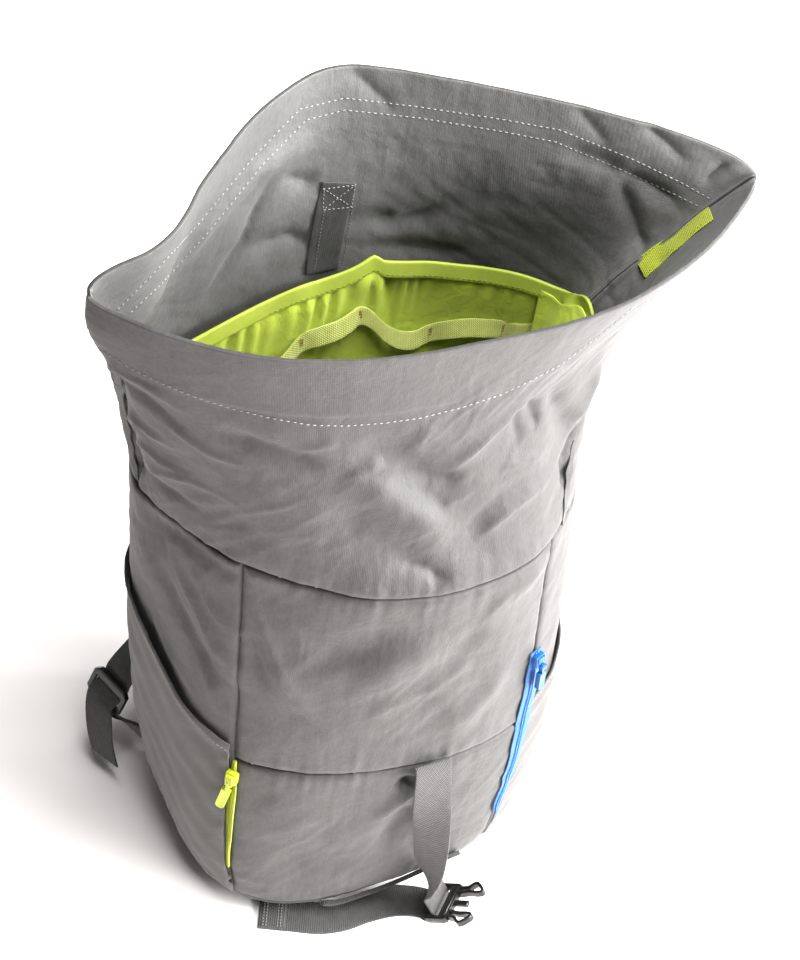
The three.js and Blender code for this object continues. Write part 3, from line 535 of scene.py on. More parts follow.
def pressFold(places, normals, tree, pixels, width, height):
    marks = [hit for hit, _ in pixelLine(tree, pixels, count=foldLook["marks"])]
    if len(marks) < 3:
        return
    line = spline(np.array(marks) / mm, foldLook["step"]) * mm
    nearby = np.where(np.linalg.norm(places - line.mean(0), axis=1) < foldLook["reach"])[0]
    gaps = np.linalg.norm(places[nearby][:, None] - line[None], axis=2)
    share = gaps.argmin(1) / (len(line) - 1)
    ends = np.clip(np.minimum(share, 1 - share) / foldLook["fade"], 0, 1)
    ends = ends * (1 - foldLook["endShare"]) + foldLook["endShare"]
    facing = np.where(normals[nearby] @ np.array(photo["forward"]) < 0, 1.0, -1.0)
    power = foldLook["crisp"] if width < foldLook["crispWidth"] else foldLook["soft"]
    shape = np.exp(-(gaps.min(1) / (width * mm)) ** power)
    amount = height * foldLook["strength"] * mm * shape * ends * facing
    places[nearby] += normals[nearby] * amount[:, None]


def clothMap(bm):  # unrolled map of the bag in metres: way round and height
    layer = bm.loops.layers.uv.new("cloth")
    for face in bm.faces:
        turns = [math.atan2(loop.vert.co.y - shell["axis"].y, loop.vert.co.x) for loop in face.loops]
        highest = max(turns)
        for loop, turn in zip(face.loops, turns):
            if highest - turn > math.pi:
                turn += 2 * math.pi
            loop[layer].uv = (turn * shell["radius"] * mm, loop.vert.co.z)


# crinkles all over: layers of noise with their size, shift and height, and slanted ridges in patches
crinkles = {
    "layers": [(34, (0, 0, 0), 1.1), (12, (7, 3, 1), 0.5), (5, (2, 9, 4), 0.12)],
    "slant": 36, "ridgeLength": 70, "ridgeGap": 15, "ridgeHeight": 0.6, "sharpness": 5, "patch": 90,
}


def crinkle(point):
    height = 0
    for size, shift, amount in crinkles["layers"]:
        height += noise.noise(point * perMetre(size) + Vector(shift)) * amount
    turn = math.radians(crinkles["slant"])
    across = math.atan2(point.y - shell["axis"].y, point.x) * shell["radius"]
    up = point.z / mm
    along = (across * math.cos(turn) + up * math.sin(turn)) / crinkles["ridgeLength"]
    aside = (up * math.cos(turn) - across * math.sin(turn)) / crinkles["ridgeGap"]
    ridge = max(0, 1 - abs(noise.noise(Vector((along, aside, 3.0)))) * crinkles["sharpness"])
    patch = noise.noise(point * perMetre(crinkles["patch"]) + Vector((1, 0, 2))) + 0.15
    return (height + ridge * clamped(patch * 3) * crinkles["ridgeHeight"]) * mm


seams = {
    "groove": 2.3, "grooveWidth": 2.1, "pucker": 1.5, "puckerReach": 13, "puckerLength": 7, "puckerFrom": 4,
    "patch": 50, "calmFrom": 6, "calmReach": 30,  # flat near the floor
}


def seamPoints(bm):
    places = []
    for edge in bm.edges:
        if len(edge.link_faces) == 2:
            one, other = edge.link_faces
            if one.material_index != other.material_index:
                places.append((edge.verts[0].co.copy(), edge.verts[0].co - edge.verts[1].co))
    return places


def rimOf(bm):
    return finderOf([v.co for v in bm.verts if v.is_boundary])


# the front edge of the foot curls up off the floor towards the right
footCurl = {"height": 12, "reach": 46, "from": -40, "full": 45, "front": -50, "frontFull": -92}


def curlFoot(bm):
    for v in bm.verts:
        x, y, z = v.co / mm
        aside = clamped((x - footCurl["from"]) / (footCurl["full"] - footCurl["from"]))
        ahead = clamped((footCurl["front"] - y) / (footCurl["front"] - footCurl["frontFull"]))
        low = max(0, 1 - z / footCurl["reach"])
        v.co.z += footCurl["height"] * aside * ahead * low * mm


hem = {"depth": 46, "step": 3, "raise": 0.8, "stiffness": 0.6}


def hemShare(rim, place):  # 1 in the folded hem of the mouth, 0 below it
    return clamped((hem["depth"] - rim.find(place)[2] / mm) / hem["step"])


def seamLift(marks, finder, point):  # groove along the seams and puckers beside them
    place, index, distance = finder.find(point)
    way = marks[index][1].normalized()
    along = place.z if abs(way.z) > 0.6 else math.atan2(place.y, place.x) * shell["radius"] * mm
    groove = -seams["groove"] * math.exp(-(distance / (seams["grooveWidth"] * mm)) ** 2)
    wave = 1.8 * noise.noise(Vector((along / (seams["puckerLength"] * mm), distance * 12, 7.0)))
    strength = 0.5 + 0.5 * noise.noise(place * perMetre(seams["patch"]) + Vector((5, 5, 5)))
    pucker = seams["pucker"] * wave * strength * math.exp(-distance / (seams["puckerReach"] * mm))
    pucker *= 1 - math.exp(-(distance / (seams["puckerFrom"] * mm)) ** 2)
    return (groove + pucker) * mm


def shapeSheet(bm):
    clothMap(bm)
    curlFoot(bm)
    bm.normal_update()
    rim = rimOf(bm)
    tree = BVHTree.FromBMesh(bm)
    places = positions(bm)
    normals = np.array([v.normal for v in bm.verts])
    marks = seamPoints(bm)
    finder = finderOf([place for place, _ in marks])
    for fold in folds:
        pressFold(places, normals, tree, *fold)
    for start, end, reach in cornerPulls:
        corner = tree.ray_cast(*pixelRay(*start))[0]
        aside = photo["right"] * (end[0] - start[0]) + photo["up"] * (start[1] - end[1])
        move = aside * (corner - photo["position"]).dot(photo["forward"]) / photo["focalPixels"]
        near = np.exp(-(np.linalg.norm(places - np.array(corner), axis=1) / (reach * mm)) ** 2)
        places += near[:, None] * np.array(move)
    for k, v in enumerate(bm.verts):
        calm = clamped((v.co.z / mm - seams["calmFrom"]) / seams["calmReach"])
        doubled = hemShare(rim, v.co)
        slack = 1 - hem["stiffness"] * doubled
        lift = seamLift(marks, finder, v.co) * calm + crinkle(v.co) * calm * slack
        places[k] += normals[k] * (lift + doubled * hem["raise"] * mm)
    setPositions(bm, places)


shapeSheet(sheet)
print("folds pressed:", len(folds))


def onRim(place):
    return rimFinder.find(place)[2] < 0.3 * mm


def cutPanel(index, node):
    bm = sheet.copy()
    bmesh.ops.delete(bm, geom=[f for f in bm.faces if f.material_index != index], context="FACES")
    layer = bm.edges.layers.float.new("bevel_weight_edge")
    for edge in bm.edges:
        if edge.is_boundary and all(onRim(v.co) for v in edge.verts):
            edge[layer] = 1.0  # only the mouth is rounded, the panels meet edge to edge
    obj = newObject(node + "_cloth", bm, nylon)
    group = obj.vertex_groups.new(name="hem")
    for v in obj.data.vertices:
        group.add([v.index], hemShare(rimFinder, v.co), "REPLACE")
    wall = addWall(obj, shell["hemThickness"], -1)
    wall.vertex_group = "hem"
    wall.thickness_vertex_group = shell["thickness"] / shell["hemThickness"]
    # inner faces take the paler inside material, partly painted light standing in for light shining through
    # the thin wall
    obj.data.materials.append(coatedInsideAndPaintedLight)
    wall.material_offset = 1
    addRounding(obj, shell["rounding"], "WEIGHT")
    return register(obj, "nylon_grey", node)


rimFinder = rimOf(sheet)
panels = {node: cutPanel(k, node) for k, node in enumerate(shell["panels"])}
sheet.free()
print("panels cut:", len(panels))


# bands: webbing, tapes and bindings are grids bent along a line of places and width directions
def band(name, rows, size, material, slot, *nodes, step=2.0, columns=6, rounding=0.35, scallop=0.0):
    width, thickness = size
    fine = spline(rows, step)  # rows in millimetres: place, width direction and share of the width
    run = np.concatenate([[0], np.cumsum(np.linalg.norm(np.diff(fine[:, :3], axis=0), axis=1))])
    bm = bmesh.new()
    bmesh.ops.create_grid(bm, x_segments=columns, y_segments=len(fine) - 1, size=1)
    layer = bm.loops.layers.uv.new("cloth")
    stations = {v: (v.co.x / 2, round((v.co.y + 1) / 2 * (len(fine) - 1))) for v in bm.verts}
    for face in bm.faces:
        for loop in face.loops:
            side, k = stations[loop.vert]
            loop[layer].uv = (side * width * mm, run[k] * mm)
    for v, (side, k) in stations.items():
        across = Vector(fine[k][3:6]).normalized()
        share = fine[k][6] if len(fine[k]) > 6 else 1
        edge = scallop * math.sin(run[k] * 1.9) * (abs(side) > 0.49)
        v.co = (Vector(fine[k][:3]) + across * (side * width * share + math.copysign(edge, side))) * mm
    bm.normal_update()
    obj = newObject(name, bm, material)
    addWall(obj, thickness, 0)
    addRounding(obj, rounding, "ANGLE")
    return register(obj, slot, *nodes)


def solidPlaces(node):
    bm = cadCopy(node)
    places = positions(bm) / mm
    bm.free()
    return places


def rowCentres(node, points=6):  # middles of a strip's rows of points, from low to high
    places = solidPlaces(node)
    return places[places[:, 2].argsort()].reshape(-1, points, 3).mean(1)


def aheadAt(places, k):  # the way along a line of places
    return places[min(k + 1, len(places) - 1)] - places[max(k - 1, 0)]


def bandOn(centres, lift, sway=0.0, swayLength=30.0, turn=0.0):  # rows of a band laid on the shell
    found = [shellTree.find_nearest(Vector(place) * mm)[:2] for place in spline(centres, 6.0)]
    places = [hit / mm + normal * lift for hit, normal in found]
    rows = []
    for k, (place, (_, normal)) in enumerate(zip(places, found)):
        across = normal.cross(aheadAt(places, k)).normalized()
        shift = sway * math.sin(2 * math.pi * place.z / swayLength)
        rows.append([*(place + across * shift), *(across - normal * math.tan(math.radians(turn)))])
    return rows


# stitches: small rounded threads set along a line on the cloth
def throughWall(marks, limit=6.0):  # the same line on the other face of the shell
    other = []
    for place, normal in marks:
        hit, beyond, _, _ = shellTree.ray_cast(place - normal * 0.2 * mm, -normal, limit * mm)
        if hit is not None:
            other.append((hit, beyond))
    return other


def stitch(bm, marks, pitch=3.6, length=2.5, width=0.75, height=0.6, jump=20.0):
    left = 0.0
    for (a, na), (b, nb) in zip(marks, marks[1:]):
        gap = (b - a).length / mm
        if gap > jump or gap < 0.01:
            continue
        while left < gap:
            share = left / gap
            out = na.lerp(nb, share).normalized()
            along = (b - a).normalized()
            side = out.cross(along).normalized()
            along = side.cross(out)
            shape = Matrix((along * length / 2, side * width / 2, out * height / 2)).transposed() * mm
            place = a.lerp(b, share) + out * 0.12 * mm
            bmesh.ops.create_uvsphere(
                bm, u_segments=6, v_segments=4, radius=1, matrix=Matrix.Translation(place) @ shape.to_4x4())
            left += pitch
        left -= gap


def threads(name, lines, material, slot, **size):
    bm = bmesh.new()
    for marks in lines:
        stitch(bm, marks, **size)
    bmesh.ops.recalc_face_normals(bm, faces=bm.faces)
    return register(newObject(name, bm, material), slot)


shellTree = treeOf(panels.values())

# thread rows round the mouth: two on the back half, one across the front half, seen on both faces
mouthRows = {
    "outside": (34, 44), "away": 8, "skip": 10, "every": 3,
    "backUpper": [(118, 309), (150, 277), (200, 222), (255, 155), (300, 109), (345, 98), (420, 107),
                  (500, 119), (560, 130), (630, 158), (680, 182), (712, 200)],
    "backLower": [(131, 312), (160, 285), (210, 230), (262, 165), (306, 120), (345, 110), (420, 118),
                  (500, 131), (556, 142), (622, 170), (672, 193), (702, 208)],
    "front": [(100, 350), (130, 368), (160, 383), (195, 397), (230, 408), (270, 418), (310, 425),
              (345, 426), (385, 423), (420, 418), (460, 408), (500, 395), (530, 381), (560, 365),
              (600, 335), (636, 305)],
}


def rimRow(depth):  # a row this far below the rim on the outside of the back
    rim = [v.co for v in panels["collar_back"].data.vertices if onRim(v.co)]
    rim.sort(key=lambda place: (math.atan2(place.y, place.x) + 1) % (2 * math.pi))
    marks = []
    for place in rim[mouthRows["skip"]:-mouthRows["skip"]:mouthRows["every"]]:
        away = Vector((place.x, place.y - shell["axis"].y, 0)).normalized() * mouthRows["away"]
        hit, normal, _, _ = shellTree.find_nearest(place + (away - Vector((0, 0, depth))) * mm)
        if normal.dot(away) > 0:
            marks.append((hit, normal))
    return marks


mouthLines = [pixelLine(shellTree, mouthRows[row]) for row in ("backUpper", "backLower", "front")]
mouthLines += [throughWall(mouthLines[-1]), *[rimRow(depth) for depth in mouthRows["outside"]]]
threads("mouth_stitches", mouthLines, polyesterThread, "nylon_grey")
print("mouth stitched")

# side pockets: knitted stretch cloth with a turned hem; the right one's front edge is sewn in beside the zip
pocketCloth = {
    "levels": 3, "thickness": 1.4, "hemRow": 5.5, "hemDepth": 8, "hemRaise": 0.9, "footRow": 3.5,
    "foldLength": 26, "foldHeight": 0.7, "stand": 2.0, "sewnStand": 0.3, "lowReach": 70, "frontEdge": 35,
    "side_pocket_left": {"snug": 0.7, "frontReach": 5.5, "sewn": 0},
    "side_pocket_right": {"snug": 0.95, "frontReach": 0.0, "sewn": 22},
}


def edgeLine(tree, bm, rise, highest, bins=40):  # a line at a fixed distance from the top or foot of a wall
    places = positions(bm) / mm
    turn = np.arctan2(places[:, 1] - shell["axisY"], places[:, 0])
    turn = np.where(turn < -2.5, turn + 2 * math.pi, turn)
    slots = np.linspace(turn.min() + 0.02, turn.max() - 0.02, bins)
    marks = []
    for a, b in zip(slots, slots[1:]):
        here = places[(turn >= a) & (turn <= b)]
        if len(here):
            edge = here[here[:, 2].argmax() if highest else here[:, 2].argmin()]
            outside = Vector((edge[0], edge[1] - shell["axisY"], 0)).normalized() * 3
            marks.append(tree.find_nearest((Vector(edge) + Vector((0, 0, rise)) + outside) * mm)[:2])
    return marks


def holdCorners(bm):  # corners of an open sheet stay pointed when it is subdivided
    layer = bm.verts.layers.float.new("crease_vert")
    for v in bm.verts:
        edges = [e for e in v.link_edges if e.is_boundary]
        if len(edges) == 2:
            one, other = [(e.other_vert(v).co - v.co).normalized() for e in edges]
            if one.dot(other) > -0.6:
                v[layer] = 1.0


def pocketMove(point, normal, look, front, tops):  # snug to the shell, with soft folds and a raised hem
    wall, _, _, gap = shellTree.find_nearest(point)
    low = max(0, 1 - point.z / (pocketCloth["lowReach"] * mm))
    stand = pocketCloth["stand"]
    if look["sewn"]:
        free = min(1, (point.y - front) / (look["sewn"] * mm))
        stand = pocketCloth["sewnStand"] + (stand - pocketCloth["sewnStand"]) * free
    snug = max(0, gap / mm - stand) * max(low, look["snug"])
    wave = 2 * math.pi * (point.z - 0.7 * point.y) / (pocketCloth["foldLength"] * mm)
    fold = math.sin(wave + 3 * noise.noise(point * perMetre(60)))
    fold *= pocketCloth["foldHeight"] * (0.5 + 0.5 * noise.noise(point * perMetre(70) + Vector((3, 1, 2))))
    near = min((top - point).length for top in tops) / mm
    raised = pocketCloth["hemRaise"] * clamped((pocketCloth["hemDepth"] - near) / 1.5)
    toward = (wall - point).normalized() if gap > 0.5 * mm else Vector()
    return normal * (fold + raised) * mm + toward * snug * mm + normal * crinkle(point) * 0.4


def makePocket(node):
    look = pocketCloth[node]
    cage = outerFaces(node)
    toQuads(cage)
    holdCorners(cage)
    bm = subdivided(cage, pocketCloth["levels"])
    clothMap(bm)
    curlFoot(bm)
    bm.normal_update()
    front = min(v.co.y for v in bm.verts)
    for v in bm.verts:
        near = max(0, 1 - (v.co.y - front) / (pocketCloth["frontEdge"] * mm))
        v.co += Vector((0.35, -0.94, 0)) * look["frontReach"] * near * mm
    bm.normal_update()
    tops = [place for place, _ in edgeLine(BVHTree.FromBMesh(bm), bm, 0, True)]
    moves = [pocketMove(v.co, v.normal, look, front, tops) for v in bm.verts]
    for v, move in zip(bm.verts, moves):
        v.co += move
    bm.normal_update()
    tree = BVHTree.FromBMesh(bm)
    lines = [edgeLine(tree, bm, -pocketCloth["hemRow"], True),
             edgeLine(tree, bm, pocketCloth["footRow"], False)]
    obj = register(newObject(node + "_knit", bm, stretchKnit), "stretch_grey", node)
    addWall(obj, pocketCloth["thickness"], -1)
    threads(node + "_stitches", lines, polyesterThread, "stretch_grey", pitch=3.0, length=2.3, width=0.7)


for node in ("side_pocket_left", "side_pocket_right"):
    makePocket(node)
print("pockets made")

# front closure strap: from the pocket seam, round the bar of the buckle and out along the floor
frontStrap = {
    "size": (25, 1.5), "lapSize": (25, 1.3),
    "hanging": [(20.2, -106.5, 169, 1, 0.05, 0), (20.5, -109, 165, 1, 0.05, 0),
                (21.5, -113, 132, 0.95, -0.2, 0), (23, -116, 104, 0.82, -0.55, 0),
                (24.5, -117, 80, 0.66, -0.75, 0), (26, -116, 58, 0.4, -0.9, 0), (28, -114, 42, 0, -1, 0)],
    "barCentre": Vector((38.9, -117, 11.5)),
    "bar": Vector((0.7, 0.71, 0)),
    "prongs": Vector((0.58, -0.53, 0.5)),
    "turn": [(1.6, -16), (1.2, -8), (1, -4), (1, 0), (0.7, 2.8), (-1, 4.4), (-4, 4.8), (-8, 4.6)],
    "tail": [(26, -105, 1.6, -0.2, -0.98, 0), (12, -99.5, 1, -0.2, -0.98, 0), (-6, -98.5, 1, -0.2, -0.98, 0),
             (-24, -100, 1, -0.3, -0.95, 0), (-42, -97, 1, -0.4, -0.92, 0), (-62, -88, 1, -0.4, -0.92, 0),
             (-80, -80, 1, -0.4, -0.92, 0)],
    "lap": [(18, 1.4), (9, 1.5), (-0.5, 0.9)], "lapRows": (3, 5, 13, 15), "lapHeight": 2.2,
}


def buckleAxes():  # along the buckle's bar, from the bar to the prongs, and off its flat side
    along = frontStrap["bar"].normalized()
    out = frontStrap["bar"].cross(frontStrap["prongs"]).normalized()
    return along, out.cross(along), out


def makeFrontStrap():
    along, rise, out = buckleAxes()
    turn = [(*(frontStrap["barCentre"] + rise * y + out * z), *(-along)) for y, z in frontStrap["turn"]]
    rows = frontStrap["hanging"] + turn + frontStrap["tail"]
    band("front_strap_webbing", rows, frontStrap["size"], greyWebbing, "webbing_grey", "front_strap",
         step=1.6, columns=10, scallop=0.18)
    end = Vector(frontStrap["tail"][-1][:3])
    back = (Vector(frontStrap["tail"][-2][:3]) - end).normalized()
    across = Vector(frontStrap["tail"][-1][3:]).normalized()
    lap = [(*(end + back * run + Vector((0, 0, lift))), *across) for run, lift in frontStrap["lap"]]
    band("front_strap_turned_end", lap, frontStrap["lapSize"], greyWebbing, "webbing_grey",
         step=1.6, columns=10)
    lines = []
    for run in frontStrap["lapRows"]:
        middle = end + back * run + Vector((0, 0, frontStrap["lapHeight"]))
        lines.append([((middle + across * side) * mm, Vector((0, 0, 1))) for side in range(-11, 12)])
    threads("front_strap_stitches", lines, polyesterThread, "webbing_grey", pitch=2.4, length=1.8, width=0.6)


makeFrontStrap()

# lash loop: thick black tape pulled straight between two tacked ends, just off the cloth
lashLoop = {
    "pixels": [(322, 903), (334, 903), (346, 900), (358, 896), (378, 889), (400, 880), (420, 871),
               (436, 863), (446, 858), (458, 853)],
    "clear": 2.6, "size": (5.5, 3.2), "across": (0.1, -0.45, 0.88), "searchFrom": 1.2, "steps": 600,
    "shares": [1.3, 1.9, 1.7, 1.1, 0.8, 0.8, 0.8, 1.1, 1.7, 1.4],
}


def besideWall(x, y):  # the first place on a pixel's ray that is this close to the cloth, in mm
    start, way = pixelRay(x, y)
    best, nearest = None, math.inf
    for k in range(lashLoop["steps"]):
        place = start + way * (lashLoop["searchFrom"] + k * mm)
        gap = shellTree.find_nearest(place)[3]
        if gap < nearest:
            best, nearest = place, gap
        if gap < lashLoop["clear"] * mm:
            break
    return best / mm


def makeLashLoop():
    rows = []
    for pixel, share in zip(lashLoop["pixels"], lashLoop["shares"]):
        rows.append([*besideWall(*pixel), *lashLoop["across"], share])
    band("lash_loop_tape", rows, lashLoop["size"], blackWebbing, "black_webbing", "base_loop",
         rounding=1.1, scallop=0.25)


makeLashLoop()
print("front strap and lash loop made")


# hard pieces: the solids' own shapes with moulded, rounded edges
def moulded(node, width):
    bm = cadCopy(node)
    bmesh.ops.dissolve_limit(bm, angle_limit=math.radians(4), verts=bm.verts, edges=bm.edges)
    sharp = [e for e in bm.edges if len(e.link_faces) == 2 and e.calc_face_angle() > math.radians(28)]
    bevelEdges(bm, sharp, width)
    bm.normal_update()
    register(hardObject(node + "_moulded", bm, acetal), "black_plastic", node)


# front buckle: bar, cross body, two open prongs with hooked shoulders and a middle guide
buckle = {
    "barLength": 33, "barRadius": 1.9, "body": (31, 7.5, 5.0), "bodyAt": 9.5, "railWidth": 3.6,
    "prong": [(9, 11), (12.5, 14), (13.5, 19), (17, 23), (17.2, 25.5), (13.5, 30), (10.5, 31.5), (9.2, 28),
              (9.4, 21), (8.2, 14), (9, 11)],
    "prongSize": (4.6, 2.2), "guide": (4.2, 13, 3.2), "guideAt": 18, "rounding": 0.7,
}


def block(bm, size, centre, axes):  # a box of this size in a frame of three directions
    turn = Matrix([a * d * mm for a, d in zip(axes, size)]).transposed().to_4x4()
    bmesh.ops.create_cube(bm, size=1, matrix=Matrix.Translation(centre * mm) @ turn)


def softened(bm, width):  # rounded edges all over
    bmesh.ops.recalc_face_normals(bm, faces=bm.faces)
    bevelEdges(bm, [e for e in bm.edges if e.calc_face_angle(0) > math.radians(30)], width)


def makeBuckle():
    along, rise, out = axes = buckleAxes()
    centre = frontStrap["barCentre"]
    bm = bmesh.new()
    turn = Matrix((rise, out, along)).transposed().to_4x4()
    bmesh.ops.create_cone(bm, cap_ends=True, segments=16, radius1=buckle["barRadius"] * mm,
                          radius2=buckle["barRadius"] * mm, depth=buckle["barLength"] * mm,
                          matrix=Matrix.Translation(centre * mm) @ turn)
    width, depth, height = buckle["body"]
    block(bm, buckle["body"], centre + rise * buckle["bodyAt"], axes)
    block(bm, (width - 6, depth - 3, height + 1.2), centre + rise * buckle["bodyAt"], axes)
    for side in (-1, 1):
        rail = centre + rise * (buckle["bodyAt"] / 2 - 1) + along * side * (buckle["barLength"] - 4) / 2
        block(bm, (buckle["railWidth"], buckle["bodyAt"] + 6, height), rail, axes)
    block(bm, buckle["guide"], centre + rise * buckle["guideAt"], axes)
    softened(bm, buckle["rounding"])
    register(hardObject("front_buckle_body", bm, acetal), "black_plastic", "front_buckle")
    for name, side in (("low", -1), ("high", 1)):
        rows = [[*(centre + along * side * x + rise * y), *out] for x, y in buckle["prong"]]
        band("front_buckle_prong_" + name, rows, buckle["prongSize"], acetal, "black_plastic",
             step=1.2, columns=3, rounding=0.5)


makeBuckle()
for node, width in (("back_buckle", 1.2), ("ladder_lock_left", 0.9), ("ladder_lock_right", 0.9)):
    moulded(node, width)

# zip sliders and their pulls: a body with a ribbed cap, and a flat pull with a narrow neck and cut corners
zipHardware = {
    "body": (8.0, 9.0, 4.4), "cap": (6.6, 7.6, 2.0), "rib": (0.9, 7.4, 0.9), "ribs": (-2.1, 0.0, 2.1),
    # heights off the middle of the slider; the right one lies lower so that its pull can swing over it
    "left": {"body": -0.6, "cap": 2.4, "rib": 3.5, "rise": 0.0, "share": 1.0},
    "right": {"body": -1.7, "cap": 0.6, "rib": 1.4, "rise": 1.4, "share": 0.64},
    "shift": 2.0, "pullWidth": 0.78,
    "neck": (0.42, 0.8), "neckShare": 0.3, "bar": (0.8, 2.0, 1.1), "corner": 1.6, "rounding": 0.35,
    "ribRounding": 0.25, "thinnest": 1.8, "dish": (0.8, -0.25),
}


def zipFrame(node):  # middle of the node, the way up the zip and the way off the cloth
    low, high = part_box(node)
    middle = (Vector(low) + Vector(high)) / 2
    out = shellTree.find_nearest(middle)[1]
    up = (Vector((0, 0, 1)) - out * out.z).normalized()
    return middle / mm, out.cross(up).normalized(), up, out


def longAxis(node):  # middle of a long flat solid, its directions from thin to long, its sizes
    places = solidPlaces(node)
    middle = (places.max(0) + places.min(0)) / 2
    ways = np.linalg.eigh(np.cov((places - places.mean(0)).T))[1].T
    spans = [np.ptp((places - middle) @ way) for way in ways]
    return Vector(middle), [Vector(way) for way in ways], spans


def makeSlider(side, material, slot):
    node = "zip_" + side + "_slider"
    middle, across, up, out = zipFrame(node)
    axes = (across, up, out)
    middle += up * zipHardware["shift"]
    look = zipHardware[side]
    long, share = up * look["rise"], Vector((1, look["share"], 1))
    bm = bmesh.new()
    block(bm, zipHardware["body"], middle + out * look["body"], axes)
    block(bm, Vector(zipHardware["cap"]) * share, middle + out * look["cap"] + long, axes)
    softened(bm, zipHardware["rounding"] * 2)
    for shift in zipHardware["ribs"]:
        rib = bmesh.new()
        place = middle + out * look["rib"] + across * shift + long
        block(rib, Vector(zipHardware["rib"]) * share, place, axes)
        softened(rib, zipHardware["ribRounding"])
        joinInto(bm, rib)
    register(hardObject(node + "_body", bm, material), slot, node)


def makePull(side, material, slot):
    node = "zip_" + side + "_pull"
    middle, (thin, wide, down), spans = longAxis(node)
    if down.z > 0:
        down = -down
    length, width = spans[2], spans[1] * zipHardware["pullWidth"]
    thickness = max(zipHardware["thinnest"], spans[0])
    axes = (wide, down, thin)
    neck = length * zipHardware["neckShare"]
    bm = bmesh.new()
    block(bm, (width, length - neck, thickness), middle + down * neck / 2, axes)
    foot = [e for e in bm.edges
            if abs((e.verts[0].co - e.verts[1].co).normalized().dot(thin)) > 0.9
            and (e.verts[0].co / mm - middle).dot(down) > 0]
    bevelEdges(bm, foot, zipHardware["corner"], 1)
    faces = [f for f in bm.faces if abs(f.normal.dot(thin)) > 0.9]
    inset, depth = zipHardware["dish"]
    bmesh.ops.inset_individual(bm, faces=faces, thickness=inset * mm, depth=depth * mm, use_even_offset=True)
    wideShare, thickShare = zipHardware["neck"]
    root = middle - down * (length - neck) / 2
    block(bm, (width * wideShare, neck + 2, thickness * thickShare), root, axes)
    wideShare, long, thickShare = zipHardware["bar"]
    block(bm, (width * wideShare, long, thickness * thickShare), middle - down * (length - long) / 2, axes)
    softened(bm, zipHardware["rounding"])
    register(hardObject(node + "_plate", bm, material, 35), slot, node, body="pull_" + side)


for side, material, slot in (("left", limeZip, "lime_zip"), ("right", blueZip, "blue_zip")):
    makeSlider(side, material, slot)
    makePull(side, material, slot)
print("hard pieces moulded")

# zips: woven tape and two rows of coil
zipper = {
    "coil": {"pitch": 1.6, "length": 1.1, "width": 2.3, "height": 1.2}, "coilOffset": 1.1, "coilLift": 0.7,
    "near": 0.9, "swayLength": 34,
    "left": {"size": (9.0, 0.9), "sway": 0.3, "turn": 0, "foot": 12, "lift": 2.4,
             "shares": [0.2, 0.4, 0.7, 1, 1, 0.9, 0.25]},
    "right": {"size": (12.5, 0.9), "sway": 2.0, "turn": 22, "foot": -8, "lift": 2.2,
              "shares": [0.3, 0.7, 0.9, 1, 1, 1, 0.8]},
}


def makeZip(side, tape, material, slot):
    node = "zip_" + side
    look = zipper[side]
    centres = rowCentres(node)
    centres = centres[centres[:, 2] > centres[0][2] + look["foot"]]
    if look["foot"] < 0:  # the tape runs on a little below its opening
        way = centres[0] - centres[1]
        centres = np.vstack([centres[0] - way / np.linalg.norm(way) * look["foot"], centres])
    rows = bandOn(centres, zipper["near"], look["sway"], zipper["swayLength"], look["turn"])
    shares = np.interp(np.linspace(0, 1, len(rows)), np.linspace(0, 1, len(look["shares"])), look["shares"])
    rows = np.column_stack([rows, shares])
    for row in rows:
        out = shellTree.find_nearest(Vector(row[:3]) * mm)[1]
        row[:3] += np.array(out) * (look["lift"] - zipper["near"])
    evened(rows[:, :3], 2)
    band(node + "_tape", rows, look["size"], tape, slot, node, columns=4)
    lines = []
    for offset in (-zipper["coilOffset"], zipper["coilOffset"]):
        marks = []
        for row in spline(rows, 1.5):
            across = Vector(row[3:6]).normalized()
            normal = across.cross(Vector((0, 0, -1))).normalized()
            place = Vector(row[:3]) + across * offset * min(1, row[6] + 0.2) + normal * zipper["coilLift"]
            marks.append((place * mm, normal))
        lines.append(marks)
    threads(node + "_coil", lines, material, slot, **zipper["coil"])


makeZip("left", limeTapeAndPaintedSeamShade, limeZip, "lime_zip")
makeZip("right", blueTape, blueZip, "blue_zip")
print("zips made")

# inner sleeve: thin lime cloth gathered under a binding, its top edge read off the picture
sleeveCloth = {
    "levels": 3, "gather": 4.2, "gatherLength": 11, "reach": 40, "drape": 4.5, "binding": (12, 2.2),
    "top": [(199, 338, 14), (240, 316, 14), (270, 301, 14), (300, 288, 14), (322, 281, 14), (345, 273, 14),
            (360, 266, 14), (375, 257, 14), (384, 262, 14), (405, 263, 14), (430, 263, 14), (460, 266, 13),
            (480, 268, 12), (505, 272, 10), (522, 276, 9), (540, 282, 8)],
    "gusset": [(535, 281, 8.5), (552, 287, 7), (570, 294, 6), (588, 301, 4.5)],
    "gussetDepth": 38, "gussetEnd": (6, -14, -14), "gussetClear": 3.0,
    "rightEnd": 112, "rightClear": 1.5, "tuckAt": 21, "tuckHeight": 5.0, "tuckReach": 48,
    "bindingClear": 2.0, "slack": 1.25, "wander": 9, "leftShare": 1.25, "rightShare": 0.6, "slant": 0.12,
}


def offWall(x, y, gap):  # the place on a pixel's ray this far in front of the wall behind it
    start, way = pixelRay(x, y)
    hit, normal, _, _ = shellTree.ray_cast(start, way)
    return (hit - way * (gap * mm / abs(way.dot(normal)))) / mm


